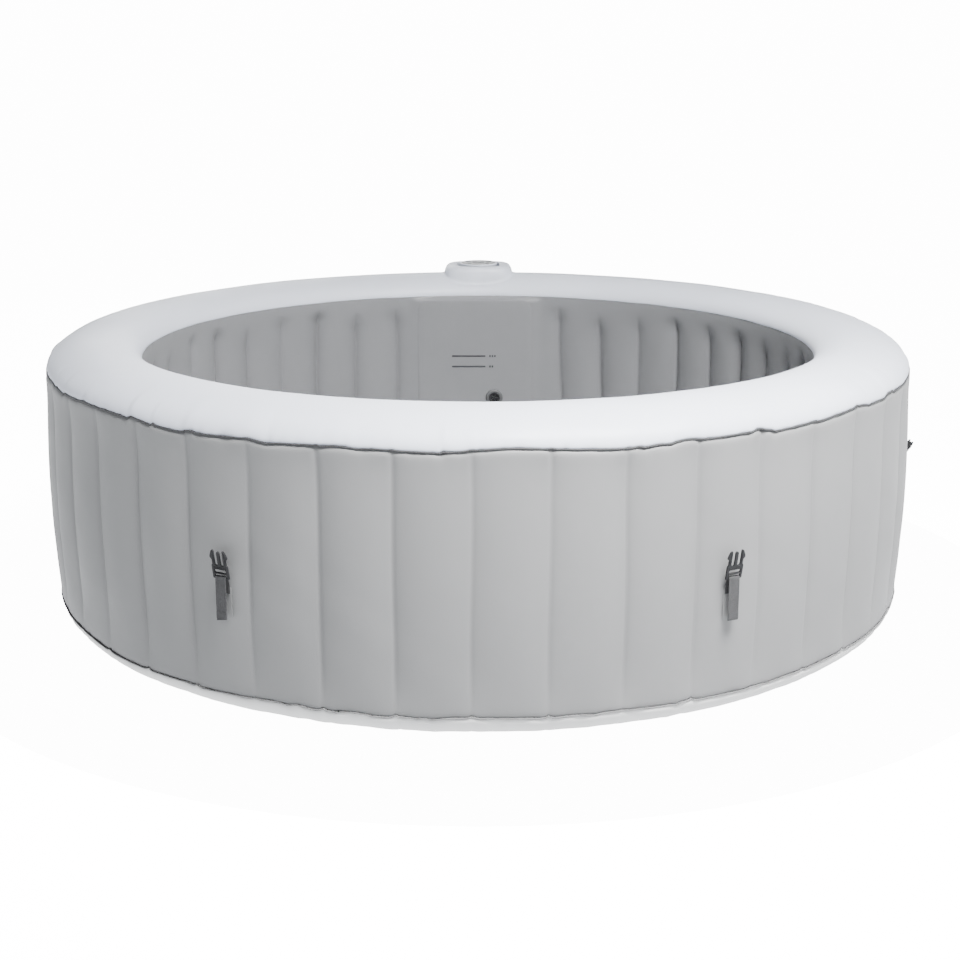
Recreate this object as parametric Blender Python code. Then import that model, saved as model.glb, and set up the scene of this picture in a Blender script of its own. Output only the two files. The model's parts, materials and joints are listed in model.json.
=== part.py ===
"""Round inflatable hot tub with vertical ribs, a white inflated rim and its equipment inside the wall.

Metres, +Z up. The origin is on the tub's axis, on the ground. The front of the tub faces -Y, and the
control head and the equipment bay are at the back, at +Y. Angles round the tub are measured from the
front towards +X.
"""

import math

import bmesh
import bpy
from mathutils import Vector

# Driving dimensions
TUB_RADIUS = 1.02
TUB_HEIGHT = 0.66
INNER_RADIUS = 0.804
RIB_COUNT = 42
WALL_BULGE = 0.0116
UPPER_SEAM_Z = 0.595
INNER_SEAM_Z = 0.606
LOWER_SEAM_Z = 0.070
GROUND_RADIUS = 0.863
CROWN_RADIUS = 0.897
SKIN = 0.003
GAP = 0.0003

# Seam flanges
FLANGE_HALF = 0.0015
FLANGE_PROUD = 0.006
FLANGE_ROOT = 0.010

# Equipment bay, at the back of the wall
BAY_HALF_WIDTH = 0.14
BAY_FRONT_Y = 0.822
BAY_REAR_Y = 0.985
BAY_FLOOR_Z = 0.045
BAY_ROOF_Z = 0.575
BAY_SKIN = 0.004
PANEL_FACE_Y = 0.778
PANEL_CENTRE_X = -0.011
PANEL_WIDTH = 0.331
PANEL_LOW_Z = 0.085
PANEL_HIGH_Z = 0.596
COVER_LOW_Z = 0.12
COVER_HIGH_Z = 0.50
COVER_LAP = 0.02
WINDOW_HALF_ANGLE = 7.4
RETURN_HOLE = 0.0165
FILTER_HOLE = 0.0215
RETURN_X, RETURN_Z = 0.047, 0.308
FILTER_X, FILTER_Z = -0.066, 0.178
BLOWER_Z = 0.455
HEATER_X, HEATER_Y = 0.052, 0.915
HEATER_LOW_Z, HEATER_HIGH_Z = 0.115, 0.262
INLET_X, INLET_Z = 0.085, 0.165

# Control head, on the rim at the back
HEAD_Y = 0.908
HEAD_HALF_X, HEAD_HALF_Y = 0.100, 0.086
HEAD_FOOT_Z = 0.612
HEAD_TOP_Z = 0.6850
PANEL_DISC_RADIUS = 0.051
PANEL_DISC_THICK = 0.0034
BUTTON_RADIUS = 0.0062
BUTTON_RING_RADIUS = 0.034
BUTTON_TRAVEL = 0.001

# Lid straps: angle round the tub, and how far each buckle leans out
STRAPS = ((-150, 10), (-90, 10), (-28.5, 10), (28.5, 10), (90, 32), (150, 10))
STRAP_BAR_Z = 0.318
BAR_STANDOFF = 0.011
WEBBING_WIDTH = 0.025
WEBBING_THICK = 0.0014
TAIL_LENGTH = 0.089

# Valves on the outer wall
VALVE_ANGLE = 158.571
VALVE_HOLE = 0.0175
DRAIN_Z = 0.105
INFLATION_Z = 0.40

RING_STEPS = 2 * RIB_COUNT
HIDDEN_STEPS = RIB_COUNT
MM = 0.001
TO_REAR = (math.radians(-90), 0, 0)
TO_TUB = (math.radians(90), 0, 0)


def colour(red, green, blue):
    """Linear colour from 0-255 display values."""
    def linear(value):
        share = value / 255
        return share / 12.92 if share <= 0.04045 else ((share + 0.055) / 1.055) ** 2.4
    return (linear(red), linear(green), linear(blue), 1.0)


LOOKS = {
    "wall_vinyl": (colour(186, 187, 189), 0.55, 0.0),
    "inner_vinyl": (colour(156, 158, 162), 0.5, 0.0),
    "rim_vinyl": (colour(232, 234, 237), 0.45, 0.0),
    "base_vinyl": (colour(208, 208, 206), 0.6, 0.0),
    "seam_vinyl": (colour(112, 113, 116), 0.6, 0.0),
    "web_fabric": (colour(200, 200, 198), 0.8, 0.0),
    "grey_plastic": (colour(150, 152, 154), 0.45, 0.0),
    "white_plastic": (colour(236, 237, 238), 0.35, 0.0),
    "black_plastic": (colour(42, 43, 45), 0.4, 0.0),
    "buckle_plastic": (colour(70, 72, 75), 0.45, 0.0),
    "webbing": (colour(112, 114, 117), 0.85, 0.0),
    "panel_film": (colour(176, 177, 177), 0.35, 0.0),
    "lens": (colour(24, 26, 30), 0.1, 0.0),
    "steel": (colour(170, 172, 175), 0.25, 1.0),
    "board": (colour(30, 92, 60), 0.5, 0.0),
    "filter_paper": (colour(225, 228, 230), 0.9, 0.0),
    "hose": (colour(205, 208, 210), 0.5, 0.0),
}


def clear_scene():
    for item in list(bpy.data.objects):
        bpy.data.objects.remove(item, do_unlink=True)


def material_for(node, look):
    base, roughness, metallic = LOOKS[look]
    made = bpy.data.materials.new(node + "_" + look)
    made.use_nodes = True
    shader = made.node_tree.nodes["Principled BSDF"]
    shader.inputs["Base Color"].default_value = base
    shader.inputs["Roughness"].default_value = roughness
    shader.inputs["Metallic"].default_value = metallic
    return made


def add_node(name, bm, look, location=(0, 0, 0), rotation=(0, 0, 0)):
    """Links a closed mesh as one named object, faces out, smooth but for its sharp edges."""
    bmesh.ops.recalc_face_normals(bm, faces=bm.faces)
    if bm.calc_volume(signed=True) < 0:
        bmesh.ops.reverse_faces(bm, faces=bm.faces)
    mesh = bpy.data.meshes.new(name)
    bm.to_mesh(mesh)
    bm.free()
    item = bpy.data.objects.new(name, mesh)
    bpy.context.scene.collection.objects.link(item)
    item.location = location
    item.rotation_euler = rotation
    mesh.materials.append(material_for(name, look))
    mesh.shade_smooth()
    mesh.set_sharp_from_angle(angle=math.radians(35))
    return item


def combine(target, tool, operation):
    """Cuts or joins target with tool, exactly, and removes the tool."""
    change = target.modifiers.new("shape", "BOOLEAN")
    change.operation = operation
    change.solver = "EXACT"
    change.object = tool
    bpy.context.view_layer.update()
    graph = bpy.context.evaluated_depsgraph_get()
    shaped = bpy.data.meshes.new_from_object(target.evaluated_get(graph))
    target.modifiers.remove(change)
    target.data = shaped
    while len(shaped.materials) > 1:
        shaped.materials.pop(index=1)
    bpy.data.objects.remove(tool, do_unlink=True)
    shaped.shade_smooth()
    shaped.set_sharp_from_angle(angle=math.radians(35))
    return target


def turned_mesh(outline, steps, start=0.0, sweep=360.0):
    """An outline of (radius, height) points turned about Z. Points on the axis become single vertices.

    A full turn closes on itself. A part turn is closed by a face at each end, and its outline is a
    closed loop.
    """
    bm = bmesh.new()
    full = abs(sweep - 360.0) < 1e-6
    count = steps if full else steps + 1
    rows = []
    for radius, height in outline:
        if radius < 1e-9:
            pole = bm.verts.new((0, 0, height))
            rows.append([pole] * count)
            continue
        row = []
        for step in range(count):
            angle = math.radians(start + sweep * step / steps)
            row.append(bm.verts.new((radius * math.sin(angle), -radius * math.cos(angle), height)))
        rows.append(row)
    on_axis = outline[0][0] < 1e-9
    pairs = len(rows) - 1 if on_axis else len(rows)
    for index in range(pairs):
        low, high = rows[index], rows[(index + 1) % len(rows)]
        for step in range(steps):
            after = (step + 1) % count
            corners = [low[step], low[after], high[after], high[step]]
            unique = list(dict.fromkeys(corners))
            if len(unique) > 2:
                bm.faces.new(unique)
    if not full:
        bm.faces.new([row[0] for row in rows])
        bm.faces.new([row[-1] for row in rows])
    return bm


def turned(name, outline, look, steps=16, location=(0, 0, 0), rotation=(0, 0, 0)):
    return add_node(name, turned_mesh(outline, steps), look, location, rotation)


def prism_mesh(outline, low, high, plane="XY"):
    """A flat outline pushed from low to high along the third direction."""
    bm = bmesh.new()
    ends = []
    for depth in (low, high):
        row = []
        for first, second in outline:
            point = {"XY": (first, second, depth), "XZ": (first, depth, second), "YZ": (depth, first, second)}
            row.append(bm.verts.new(point[plane]))
        bm.faces.new(row)
        ends.append(row)
    size = len(outline)
    for index in range(size):
        after = (index + 1) % size
        bm.faces.new([ends[0][index], ends[0][after], ends[1][after], ends[1][index]])
    return bm


def box_mesh(low, high):
    outline = [(low[0], low[1]), (high[0], low[1]), (high[0], high[1]), (low[0], high[1])]
    return prism_mesh(outline, low[2], high[2])


def rounded_rectangle(low, high, radius, corner_steps=3):
    """The outline of a rectangle with round corners, from its lowest and highest corners."""
    points = []
    corners = ((high[0], high[1], 0), (low[0], high[1], 90), (low[0], low[1], 180), (high[0], low[1], 270))
    for x, y, first in corners:
        centre_x = x - math.copysign(radius, x - (low[0] + high[0]) / 2)
        centre_y = y - math.copysign(radius, y - (low[1] + high[1]) / 2)
        for step in range(corner_steps + 1):
            angle = math.radians(first + 90 * step / corner_steps)
            points.append((centre_x + radius * math.cos(angle), centre_y + radius * math.sin(angle)))
    return points


def cutter(bm, location=(0, 0, 0), rotation=(0, 0, 0)):
    item = add_node("cutter", bm, "board", location, rotation)
    item.hide_render = True
    item.display_type = "WIRE"
    return item


def rod_mesh(radius, low, high, steps=16):
    return turned_mesh([(0, low), (radius, low), (radius, high), (0, high)], steps)


def wall_radius(height):
    """Radius of the outer wall's outer face at a height: straight at both seams, fullest halfway."""
    share = (height - LOWER_SEAM_Z) / (UPPER_SEAM_Z - LOWER_SEAM_Z)
    return TUB_RADIUS + WALL_BULGE * math.sin(math.pi * min(max(share, 0.0), 1.0))


def wall_levels(low, high, count):
    return [low + (high - low) * index / (count - 1) for index in range(count)]


def around(radius, angle, height):
    """The point at a radius, an angle from the front in degrees, and a height."""
    turn = math.radians(angle)
    return (radius * math.sin(turn), -radius * math.cos(turn), height)


# Inflated shell

def outer_wall():
    low = LOWER_SEAM_Z + FLANGE_HALF + GAP
    high = UPPER_SEAM_Z - FLANGE_HALF - GAP
    levels = wall_levels(low, high, 5)
    outline = [(wall_radius(z), z) for z in levels]
    outline += [(wall_radius(z) - SKIN, z) for z in reversed(levels)]
    wall = turned("outer_wall", outline, "wall_vinyl", RING_STEPS)
    window_low, window_high = COVER_LOW_Z + COVER_LAP, COVER_HIGH_Z - COVER_LAP
    window = [(0.9, window_low), (1.1, window_low), (1.1, window_high), (0.9, window_high)]
    opening = turned_mesh(window, 4, 180 - WINDOW_HALF_ANGLE, 2 * WINDOW_HALF_ANGLE)
    combine(wall, cutter(opening), "DIFFERENCE")
    for side, height in ((1, DRAIN_Z), (-1, INFLATION_Z)):
        hole = cutter(rod_mesh(VALVE_HOLE, -0.05, 0.05), around(TUB_RADIUS, side * VALVE_ANGLE, height),
                      (math.radians(90), 0, math.radians(side * VALVE_ANGLE)))
        combine(wall, hole, "DIFFERENCE")


def rim_point(share, inset):
    """A point on the rim's section: 0 at the outer seam, 1 over the crown, 2 at the inner seam."""
    outer_low = UPPER_SEAM_Z + FLANGE_HALF + GAP
    if share <= 1:
        angle = math.radians(90 * share)
        radius = CROWN_RADIUS + (TUB_RADIUS - inset - CROWN_RADIUS) * math.cos(angle)
        return (radius, outer_low + (TUB_HEIGHT - inset - outer_low) * math.sin(angle))
    angle = math.radians(90 * (share - 1))
    radius = CROWN_RADIUS - (CROWN_RADIUS - INNER_RADIUS - inset) * math.sin(angle)
    return (radius, INNER_SEAM_Z + (TUB_HEIGHT - inset - INNER_SEAM_Z) * math.cos(angle))


def head_outline(grow, steps=24):
    """The control head's plan outline: a soft-cornered oval, grown outwards."""
    points = []
    for step in range(steps):
        angle = 2 * math.pi * step / steps
        across, along = math.cos(angle), math.sin(angle)
        x = (HEAD_HALF_X + grow) * math.copysign(abs(across) ** 0.8, across)
        y = (HEAD_HALF_Y + grow) * math.copysign(abs(along) ** 0.8, along)
        points.append((x, y))
    return points


def top_rim():
    outer = [rim_point(share, 0) for share in (0, 0.3, 0.6, 0.85, 1.1, 1.4, 1.7, 2)]
    inner = [rim_point(share, SKIN) for share in (2, 1.5, 1, 0.5, 0)]
    rim = turned("top_rim", outer + inner, "rim_vinyl", RING_STEPS)
    combine(rim, cutter(prism_mesh(head_outline(0.0005), 0.55, 0.72), (0, HEAD_Y, 0)), "DIFFERENCE")


def inner_wall():
    low = 2 * SKIN
    high = INNER_SEAM_Z - GAP
    outline = [(INNER_RADIUS, low), (INNER_RADIUS, high),
               (INNER_RADIUS + SKIN, high), (INNER_RADIUS + SKIN, low)]
    wall = turned("inner_wall", outline, "inner_vinyl", HIDDEN_STEPS)
    for x, z, radius in ((RETURN_X, RETURN_Z, RETURN_HOLE), (FILTER_X, FILTER_Z, FILTER_HOLE)):
        combine(wall, cutter(rod_mesh(radius, -0.06, 0.06), (x, INNER_RADIUS, z), TO_TUB), "DIFFERENCE")
    drain = cutter(rod_mesh(VALVE_HOLE, -0.06, 0.06), around(INNER_RADIUS, VALVE_ANGLE, DRAIN_Z),
                   (math.radians(90), 0, math.radians(VALVE_ANGLE)))
    combine(wall, drain, "DIFFERENCE")


def base_panel():
    """The ground sheet, turned up round its edge to the lower seam."""
    high = LOWER_SEAM_Z - FLANGE_HALF - GAP
    outline = [(0, 0)]
    for angle in (0, 25, 48, 70, 90):
        turn = math.radians(angle)
        reach = TUB_RADIUS - GROUND_RADIUS
        outline.append((GROUND_RADIUS + reach * math.sin(turn), high * (1 - math.cos(turn))))
    for angle in (90, 60, 30, 0):
        turn = math.radians(angle)
        reach = TUB_RADIUS - SKIN - GROUND_RADIUS
        outline.append((GROUND_RADIUS + reach * math.sin(turn), SKIN + (high - SKIN) * (1 - math.cos(turn))))
    outline.append((0, SKIN))
    turned("base_panel", outline, "base_vinyl", HIDDEN_STEPS)


def floor_panel():
    radius = INNER_RADIUS - 2 * GAP
    low = SKIN + GAP
    high = low + 0.004
    turned("floor_panel", [(0, low), (radius, low), (radius, high), (0, high)], "inner_vinyl", HIDDEN_STEPS)


def bubble_ring():
    """The air channel welded round the foot of the inner wall."""
    outside = INNER_RADIUS - 2 * GAP
    low = SKIN + 0.004 + 3 * GAP
    outline = [(outside, low), (outside, low + 0.040), (outside - 0.012, low + 0.037),
               (outside - 0.026, low + 0.020), (outside - 0.028, low)]
    turned("bubble_ring", outline, "inner_vinyl", HIDDEN_STEPS)


def wall_webs():
    """The webs that tie the two walls together, as one folded strip that stops at the equipment bay."""
    last_seam = RIB_COUNT // 2 - 2
    faces = []
    for offset in (-0.0015, 0.0015):
        line = []
        for seam in range(-last_seam, last_seam + 1):
            radius = TUB_RADIUS - 0.010 if seam % 2 else INNER_RADIUS + 0.009
            line.append((radius + offset, seam * 360 / RIB_COUNT))
        faces.append(line)
    outline = faces[0] + faces[1][::-1]
    points = [around(radius, angle, 0)[:2] for radius, angle in outline]
    size = len(faces[0])
    bm = bmesh.new()
    rows = []
    for height in (0.15, 0.55):
        rows.append([bm.verts.new((x, y, height)) for x, y in points])
    total = len(points)
    for index in range(total):
        after = (index + 1) % total
        bm.faces.new([rows[0][index], rows[0][after], rows[1][after], rows[1][index]])
    for row in rows:
        for index in range(size - 1):
            bm.faces.new([row[index], row[index + 1], row[total - 2 - index], row[total - 1 - index]])
    add_node("wall_webs", bm, "web_fabric")


def seam_flange(name, height):
    root, edge = TUB_RADIUS - FLANGE_ROOT, TUB_RADIUS + FLANGE_PROUD
    low, high = height - FLANGE_HALF, height + FLANGE_HALF
    outline = [(root, low), (edge, low), (edge, high), (root, high)]
    turned(name, outline, "seam_vinyl", HIDDEN_STEPS)


# Equipment bay

def service_panel():
    """The flat panel on the inner wall that carries the water fittings."""
    outline = rounded_rectangle((PANEL_CENTRE_X - PANEL_WIDTH / 2, PANEL_LOW_Z),
                                (PANEL_CENTRE_X + PANEL_WIDTH / 2, PANEL_HIGH_Z), 0.03)
    panel = add_node("service_panel", prism_mesh(outline, PANEL_FACE_Y, PANEL_FACE_Y + SKIN, "XZ"),
                     "inner_vinyl")
    for x, z, radius in ((RETURN_X, RETURN_Z, RETURN_HOLE), (FILTER_X, FILTER_Z, FILTER_HOLE)):
        combine(panel, cutter(rod_mesh(radius, -0.02, 0.02), (x, PANEL_FACE_Y, z), TO_TUB), "DIFFERENCE")


def equipment_housing():
    low = (-BAY_HALF_WIDTH, BAY_FRONT_Y, BAY_FLOOR_Z)
    high = (BAY_HALF_WIDTH, BAY_REAR_Y, BAY_ROOF_Z)
    housing = add_node("equipment_housing", box_mesh(low, high), "grey_plastic")
    room_low = [value + BAY_SKIN for value in low]
    room_high = (high[0] - BAY_SKIN, high[1] + BAY_SKIN, high[2] - BAY_SKIN)
    combine(housing, cutter(box_mesh(room_low, room_high)), "DIFFERENCE")
    for x, z, radius in ((RETURN_X, RETURN_Z, RETURN_HOLE), (FILTER_X, FILTER_Z, FILTER_HOLE)):
        combine(housing, cutter(rod_mesh(radius, -0.03, 0.03), (x, BAY_FRONT_Y, z), TO_TUB), "DIFFERENCE")


def service_cover():
    """The curved cover over the bay's rear opening, with the air intake's slots."""
    levels = wall_levels(COVER_LOW_Z, COVER_HIGH_Z, 5)
    outline = [(wall_radius(z) + 0.0005, z) for z in levels]
    outline += [(wall_radius(z) + 0.0055, z) for z in reversed(levels)]
    pitch = 360 / RIB_COUNT
    cover = add_node("service_cover", turned_mesh(outline, 4, 180 - pitch, 2 * pitch), "grey_plastic")
    for index in range(7):
        z = 0.385 + 0.014 * index
        combine(cover, cutter(box_mesh((-0.07, 1.0, z), (0.07, 1.08, z + 0.007))), "DIFFERENCE")
    combine(cover, cutter(rod_mesh(0.0105, 0, 0.1), (INLET_X, 1.0, INLET_Z), TO_REAR), "DIFFERENCE")


def power_inlet():
    """The cable gland, whose collar stands behind the cover and whose nut stands outside it."""
    outline = [(0.0045, -0.020), (0.0100, -0.020), (0.0100, 0.0005), (0.0150, 0.0005), (0.0150, 0.007),
               (0.0110, 0.009), (0.0090, 0.020), (0.0045, 0.020)]
    rear_y = wall_radius(INLET_Z) + 0.0055
    turned("power_inlet", outline, "black_plastic", 12, (INLET_X, rear_y, INLET_Z), TO_REAR)


def rotor_unit(prefix, origin, rotation, motor, housing, inlet_radius, blades):
    """A motor, its pierced round housing, and the bladed wheel inside, all on one axis."""
    motor_radius, motor_length = motor
    radius, length = housing
    shaft = 0.003
    bore = 0.0034
    skin = 0.003
    turned(prefix + "_motor", [(0, 0), (motor_radius, 0), (motor_radius, motor_length), (bore, motor_length),
                               (bore, motor_length - 0.016), (0, motor_length - 0.016)],
           "steel", 16, origin, rotation)
    low = motor_length + 2 * GAP
    high = low + length
    turned(prefix + "_housing", [(bore, low), (radius, low), (radius, high), (inlet_radius, high),
                                 (inlet_radius, high - skin), (radius - skin, high - skin),
                                 (radius - skin, low + skin), (bore, low + skin)],
           "black_plastic", 20, origin, rotation)
    wheel_radius = radius - skin - 0.004
    outline = []
    for blade in range(blades):
        for reach, turn in ((0.008, -0.30), (wheel_radius, -0.06), (wheel_radius, 0.06), (0.008, 0.30)):
            angle = 2 * math.pi * (blade + turn) / blades
            outline.append((reach * math.cos(angle), reach * math.sin(angle)))
    wheel_low = low + skin + 0.002
    wheel = add_node(prefix + "_impeller", prism_mesh(outline, wheel_low, high - skin - 0.002),
                     "black_plastic", origin, rotation)
    axle = cutter(rod_mesh(shaft, motor_length - 0.014, wheel_low + 0.001), origin, rotation)
    combine(wheel, axle, "UNION")


def heater_tube():
    outline = [(0.0200, HEATER_LOW_Z), (0.0225, HEATER_LOW_Z),
               (0.0225, HEATER_HIGH_Z), (0.0200, HEATER_HIGH_Z)]
    turned("heater_tube", outline, "steel", 16, (HEATER_X, HEATER_Y, 0))


def control_board():
    """The main board on the bay's side wall, with its transformer, relays and terminals."""
    x = BAY_HALF_WIDTH - BAY_SKIN - 0.006
    board = add_node("control_board", box_mesh((x, 0.850, 0.360), (x + 0.0016, 0.960, 0.540)), "board")
    parts = ((0.862, 0.380, 0.035, 0.040, 0.028), (0.862, 0.440, 0.018, 0.022, 0.016),
             (0.862, 0.475, 0.018, 0.022, 0.016), (0.910, 0.385, 0.040, 0.012, 0.012),
             (0.905, 0.430, 0.030, 0.030, 0.006), (0.905, 0.500, 0.045, 0.012, 0.010))
    for y, z, width, tall, deep in parts:
        combine(board, cutter(box_mesh((x - deep, y, z), (x + 0.0008, y + width, z + tall))), "UNION")


def hose(name, points, radius):
    """A tube on a smooth curve through its route's points."""
    curve = bpy.data.curves.new(name, "CURVE")
    curve.dimensions = "3D"
    curve.bevel_depth = radius
    curve.bevel_resolution = 2
    curve.use_fill_caps = True
    route = [Vector(point) for point in points]
    padded = [2 * route[0] - route[1]] + route + [2 * route[-1] - route[-2]]
    line = []
    for index in range(1, len(padded) - 2):
        before, here, after, beyond = padded[index - 1:index + 3]
        for step in range(3):
            t = step / 3
            square = 2 * before - 5 * here + 4 * after - beyond
            cube = 3 * here - before - 3 * after + beyond
            line.append(0.5 * (2 * here + (after - before) * t + square * t * t + cube * t ** 3))
    line.append(route[-1])
    spline = curve.splines.new("POLY")
    spline.points.add(len(line) - 1)
    for place, point in zip(spline.points, line):
        place.co = (*point, 1)
    item = bpy.data.objects.new(name, curve)
    bpy.context.scene.collection.objects.link(item)
    curve.materials.append(material_for(name, "hose"))
    return item


def hoses():
    hose("return_hose", [(HEATER_X, HEATER_Y, HEATER_HIGH_Z + GAP * 2), (HEATER_X, HEATER_Y - 0.002, 0.280),
                         (HEATER_X - 0.001, HEATER_Y - 0.014, 0.298), (RETURN_X, HEATER_Y - 0.034, RETURN_Z),
                         (RETURN_X, 0.8445, RETURN_Z)], 0.0125)
    hose("pump_hose", [(FILTER_X + 0.0405, 0.874, FILTER_Z - 0.015),
                       (FILTER_X + 0.058, 0.876, FILTER_Z - 0.020),
                       (FILTER_X + 0.078, 0.890, 0.125), (HEATER_X - 0.018, 0.908, 0.094),
                       (HEATER_X - 0.003, HEATER_Y, 0.097), (HEATER_X, HEATER_Y, HEATER_LOW_Z - GAP * 2)],
         0.0085)
    hose("air_hose", [(-0.0605, 0.915, BLOWER_Z), (-0.085, 0.915, BLOWER_Z - 0.004),
                      (-0.112, 0.912, BLOWER_Z - 0.030), (-0.117, 0.905, 0.36), (-0.119, 0.895, 0.25),
                      (-0.119, 0.885, 0.15), (-0.118, 0.866, 0.090), (-0.118, 0.845, 0.080),
                      (-0.118, BAY_FRONT_Y + BAY_SKIN + 0.0016, 0.080)], 0.012)


# Water fittings

def return_fitting():
    """The ringed outlet in the service panel: its neck runs through the wall to the hose."""
    outline = [(0.0120, -0.0655), (0.0155, -0.0655), (0.0155, 0.0006), (0.0250, 0.0006), (0.0250, 0.0040),
               (0.0225, 0.0070), (0.0190, 0.0070), (0.0190, 0.0030), (0.0120, 0.0030)]
    turned("return_fitting", outline, "grey_plastic", 20, (RETURN_X, PANEL_FACE_Y, RETURN_Z), TO_TUB)


def return_grille():
    """The black slotted insert in the outlet's ring."""
    outline = [(0, 0.0034), (0.0186, 0.0034), (0.0186, 0.0078), (0.0150, 0.0092), (0, 0.0092)]
    grille = turned("return_grille", outline, "black_plastic", 20, (RETURN_X, PANEL_FACE_Y, RETURN_Z), TO_TUB)
    for offset in (-0.008, 0, 0.008):
        slot = box_mesh((-0.009, offset - 0.0018, 0), (0.009, offset + 0.0018, 0.012))
        combine(grille, cutter(slot, (RETURN_X, PANEL_FACE_Y, RETURN_Z), TO_TUB), "DIFFERENCE")


def filter_group():
    """The suction fitting, the pleated cartridge that pushes on to it, and the twist-lock cap."""
    place = (FILTER_X, PANEL_FACE_Y, FILTER_Z)
    base = [(0.0150, -0.0758), (0.0200, -0.0758), (0.0200, 0.0006), (0.0550, 0.0006), (0.0550, 0.0120),
            (0.0520, 0.0120), (0.0520, 0.0050), (0.0230, 0.0050), (0.0230, 0.0200), (0.0150, 0.0200)]
    turned("filter_base", base, "white_plastic", 20, place, TO_TUB)
    pleats = 24
    low, high = 0.0056, 0.0860
    outline = []
    for step in range(2 * pleats):
        angle = math.pi * step / pleats
        reach = 0.0500 if step % 2 else 0.0440
        outline.append((reach * math.cos(angle), reach * math.sin(angle)))
    cartridge = add_node("filter_cartridge", prism_mesh(outline, low, high), "filter_paper", place, TO_TUB)
    combine(cartridge, cutter(rod_mesh(0.0245, low - 0.01, high + 0.01), place, TO_TUB), "DIFFERENCE")
    cap = [(0, 0.0866), (0.0520, 0.0866), (0.0520, 0.0790), (0.0550, 0.0790), (0.0550, 0.0930),
           (0.0510, 0.0960), (0, 0.0960)]
    lid = turned("filter_cap", cap, "white_plastic", 20, place, TO_TUB)
    grip = rounded_rectangle((-0.036, -0.005), (0.036, 0.005), 0.0045, 2)
    combine(lid, cutter(prism_mesh(grip, 0.0950, 0.1060), place, TO_TUB), "UNION")


def drain_group():
    """The drain pipe through the wall, with a slotted strainer across its inner end, and its screw cap."""
    turn = (math.radians(90), 0, math.radians(VALVE_ANGLE))
    place = around(TUB_RADIUS, VALVE_ANGLE, DRAIN_Z)
    skin_out = wall_radius(DRAIN_Z + 0.026) - TUB_RADIUS
    pipe = [(0, -0.2260), (0.0250, -0.2260), (0.0250, -0.2187), (0.0160, -0.2187),
            (0.0160, skin_out + 0.0008), (0.0260, skin_out + 0.0008), (0.0260, skin_out + 0.0040),
            (0.0150, skin_out + 0.0040), (0.0150, 0.0160), (0.0110, 0.0160),
            (0.0110, -0.2235), (0, -0.2235)]
    outlet = turned("drain_pipe", pipe, "grey_plastic", 16, place, turn)
    for offset in (-0.0062, 0, 0.0062):
        slot = box_mesh((-0.0075, offset - 0.0015, -0.2275), (0.0075, offset + 0.0015, -0.2220))
        combine(outlet, cutter(slot, place, turn), "DIFFERENCE")
    low = skin_out + 0.0044
    cap = [(0, 0.0166), (0.0156, 0.0166), (0.0156, low), (0.0195, low), (0.0195, 0.0185),
           (0.0170, 0.0210), (0, 0.0210)]
    lid = turned("drain_cap", cap, "grey_plastic", 16, place, turn)
    grip = box_mesh((-0.012, -0.0025, 0.0200), (0.012, 0.0025, 0.0270))
    combine(lid, cutter(grip, place, turn), "UNION")


def inflation_group():
    """The air valve in the outer wall and its screw cap."""
    turn = (math.radians(90), 0, math.radians(-VALVE_ANGLE))
    place = around(TUB_RADIUS, -VALVE_ANGLE, INFLATION_Z)
    skin_out = wall_radius(INFLATION_Z - 0.028) - TUB_RADIUS
    body = [(0.0100, -0.0200), (0.0160, -0.0200), (0.0160, skin_out + 0.0006), (0.0280, skin_out + 0.0006),
            (0.0280, skin_out + 0.0030), (0.0150, skin_out + 0.0050), (0.0150, skin_out + 0.0140),
            (0.0100, skin_out + 0.0140)]
    turned("inflation_valve", body, "grey_plastic", 16, place, turn)
    low, high = skin_out + 0.0055, skin_out + 0.0190
    cap = [(0, high - 0.0044), (0.0156, high - 0.0044), (0.0156, low), (0.0190, low), (0.0190, high - 0.0020),
           (0.0170, high), (0, high)]
    lid = turned("inflation_valve_cap", cap, "grey_plastic", 16, place, turn)
    grip = box_mesh((-0.011, -0.0022, high - 0.001), (0.011, 0.0022, high + 0.006))
    combine(lid, cutter(grip, place, turn), "UNION")


# Control head

def control_head():
    """A round-shouldered shell that stands up through the rim, open underneath."""
    sections = []
    for level in (0.0, 0.55, 0.78, 0.93, 1.0):
        z = HEAD_FOOT_Z + (HEAD_TOP_Z - HEAD_FOOT_Z) * level
        shrink = 1 - 0.36 * max(0.0, (level - 0.5) / 0.5) ** 2
        sections.append((z, shrink, 0.0))
    for level in (1.0, 0.78, 0.0):
        z = HEAD_FOOT_Z + (HEAD_TOP_Z - SKIN - HEAD_FOOT_Z) * level
        shrink = 1 - 0.36 * max(0.0, (level - 0.5) / 0.5) ** 2
        sections.append((z, shrink, -SKIN))
    bm = bmesh.new()
    rows = []
    for z, shrink, grow in sections:
        rows.append([bm.verts.new((x * shrink, y * shrink, z)) for x, y in head_outline(grow)])
    size = len(rows[0])
    bm.faces.new(rows[4])
    bm.faces.new(rows[5])
    for index in range(len(rows)):
        if index == 4:
            continue
        low, high = rows[index], rows[(index + 1) % len(rows)]
        for step in range(size):
            after = (step + 1) % size
            bm.faces.new([low[step], low[after], high[after], high[step]])
    add_node("control_head", bm, "white_plastic", (0, HEAD_Y, 0))


def button_places():
    """Name and place of each button, round the panel's display."""
    names = ("power_button", "heat_button", "filter_button",
             "bubble_button", "warmer_button", "cooler_button")
    angles = (150, 110, 70, 30, -40, -140)
    for name, angle in zip(names, angles):
        turn = math.radians(angle)
        yield name, BUTTON_RING_RADIUS * math.cos(turn), HEAD_Y + BUTTON_RING_RADIUS * math.sin(turn)


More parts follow.
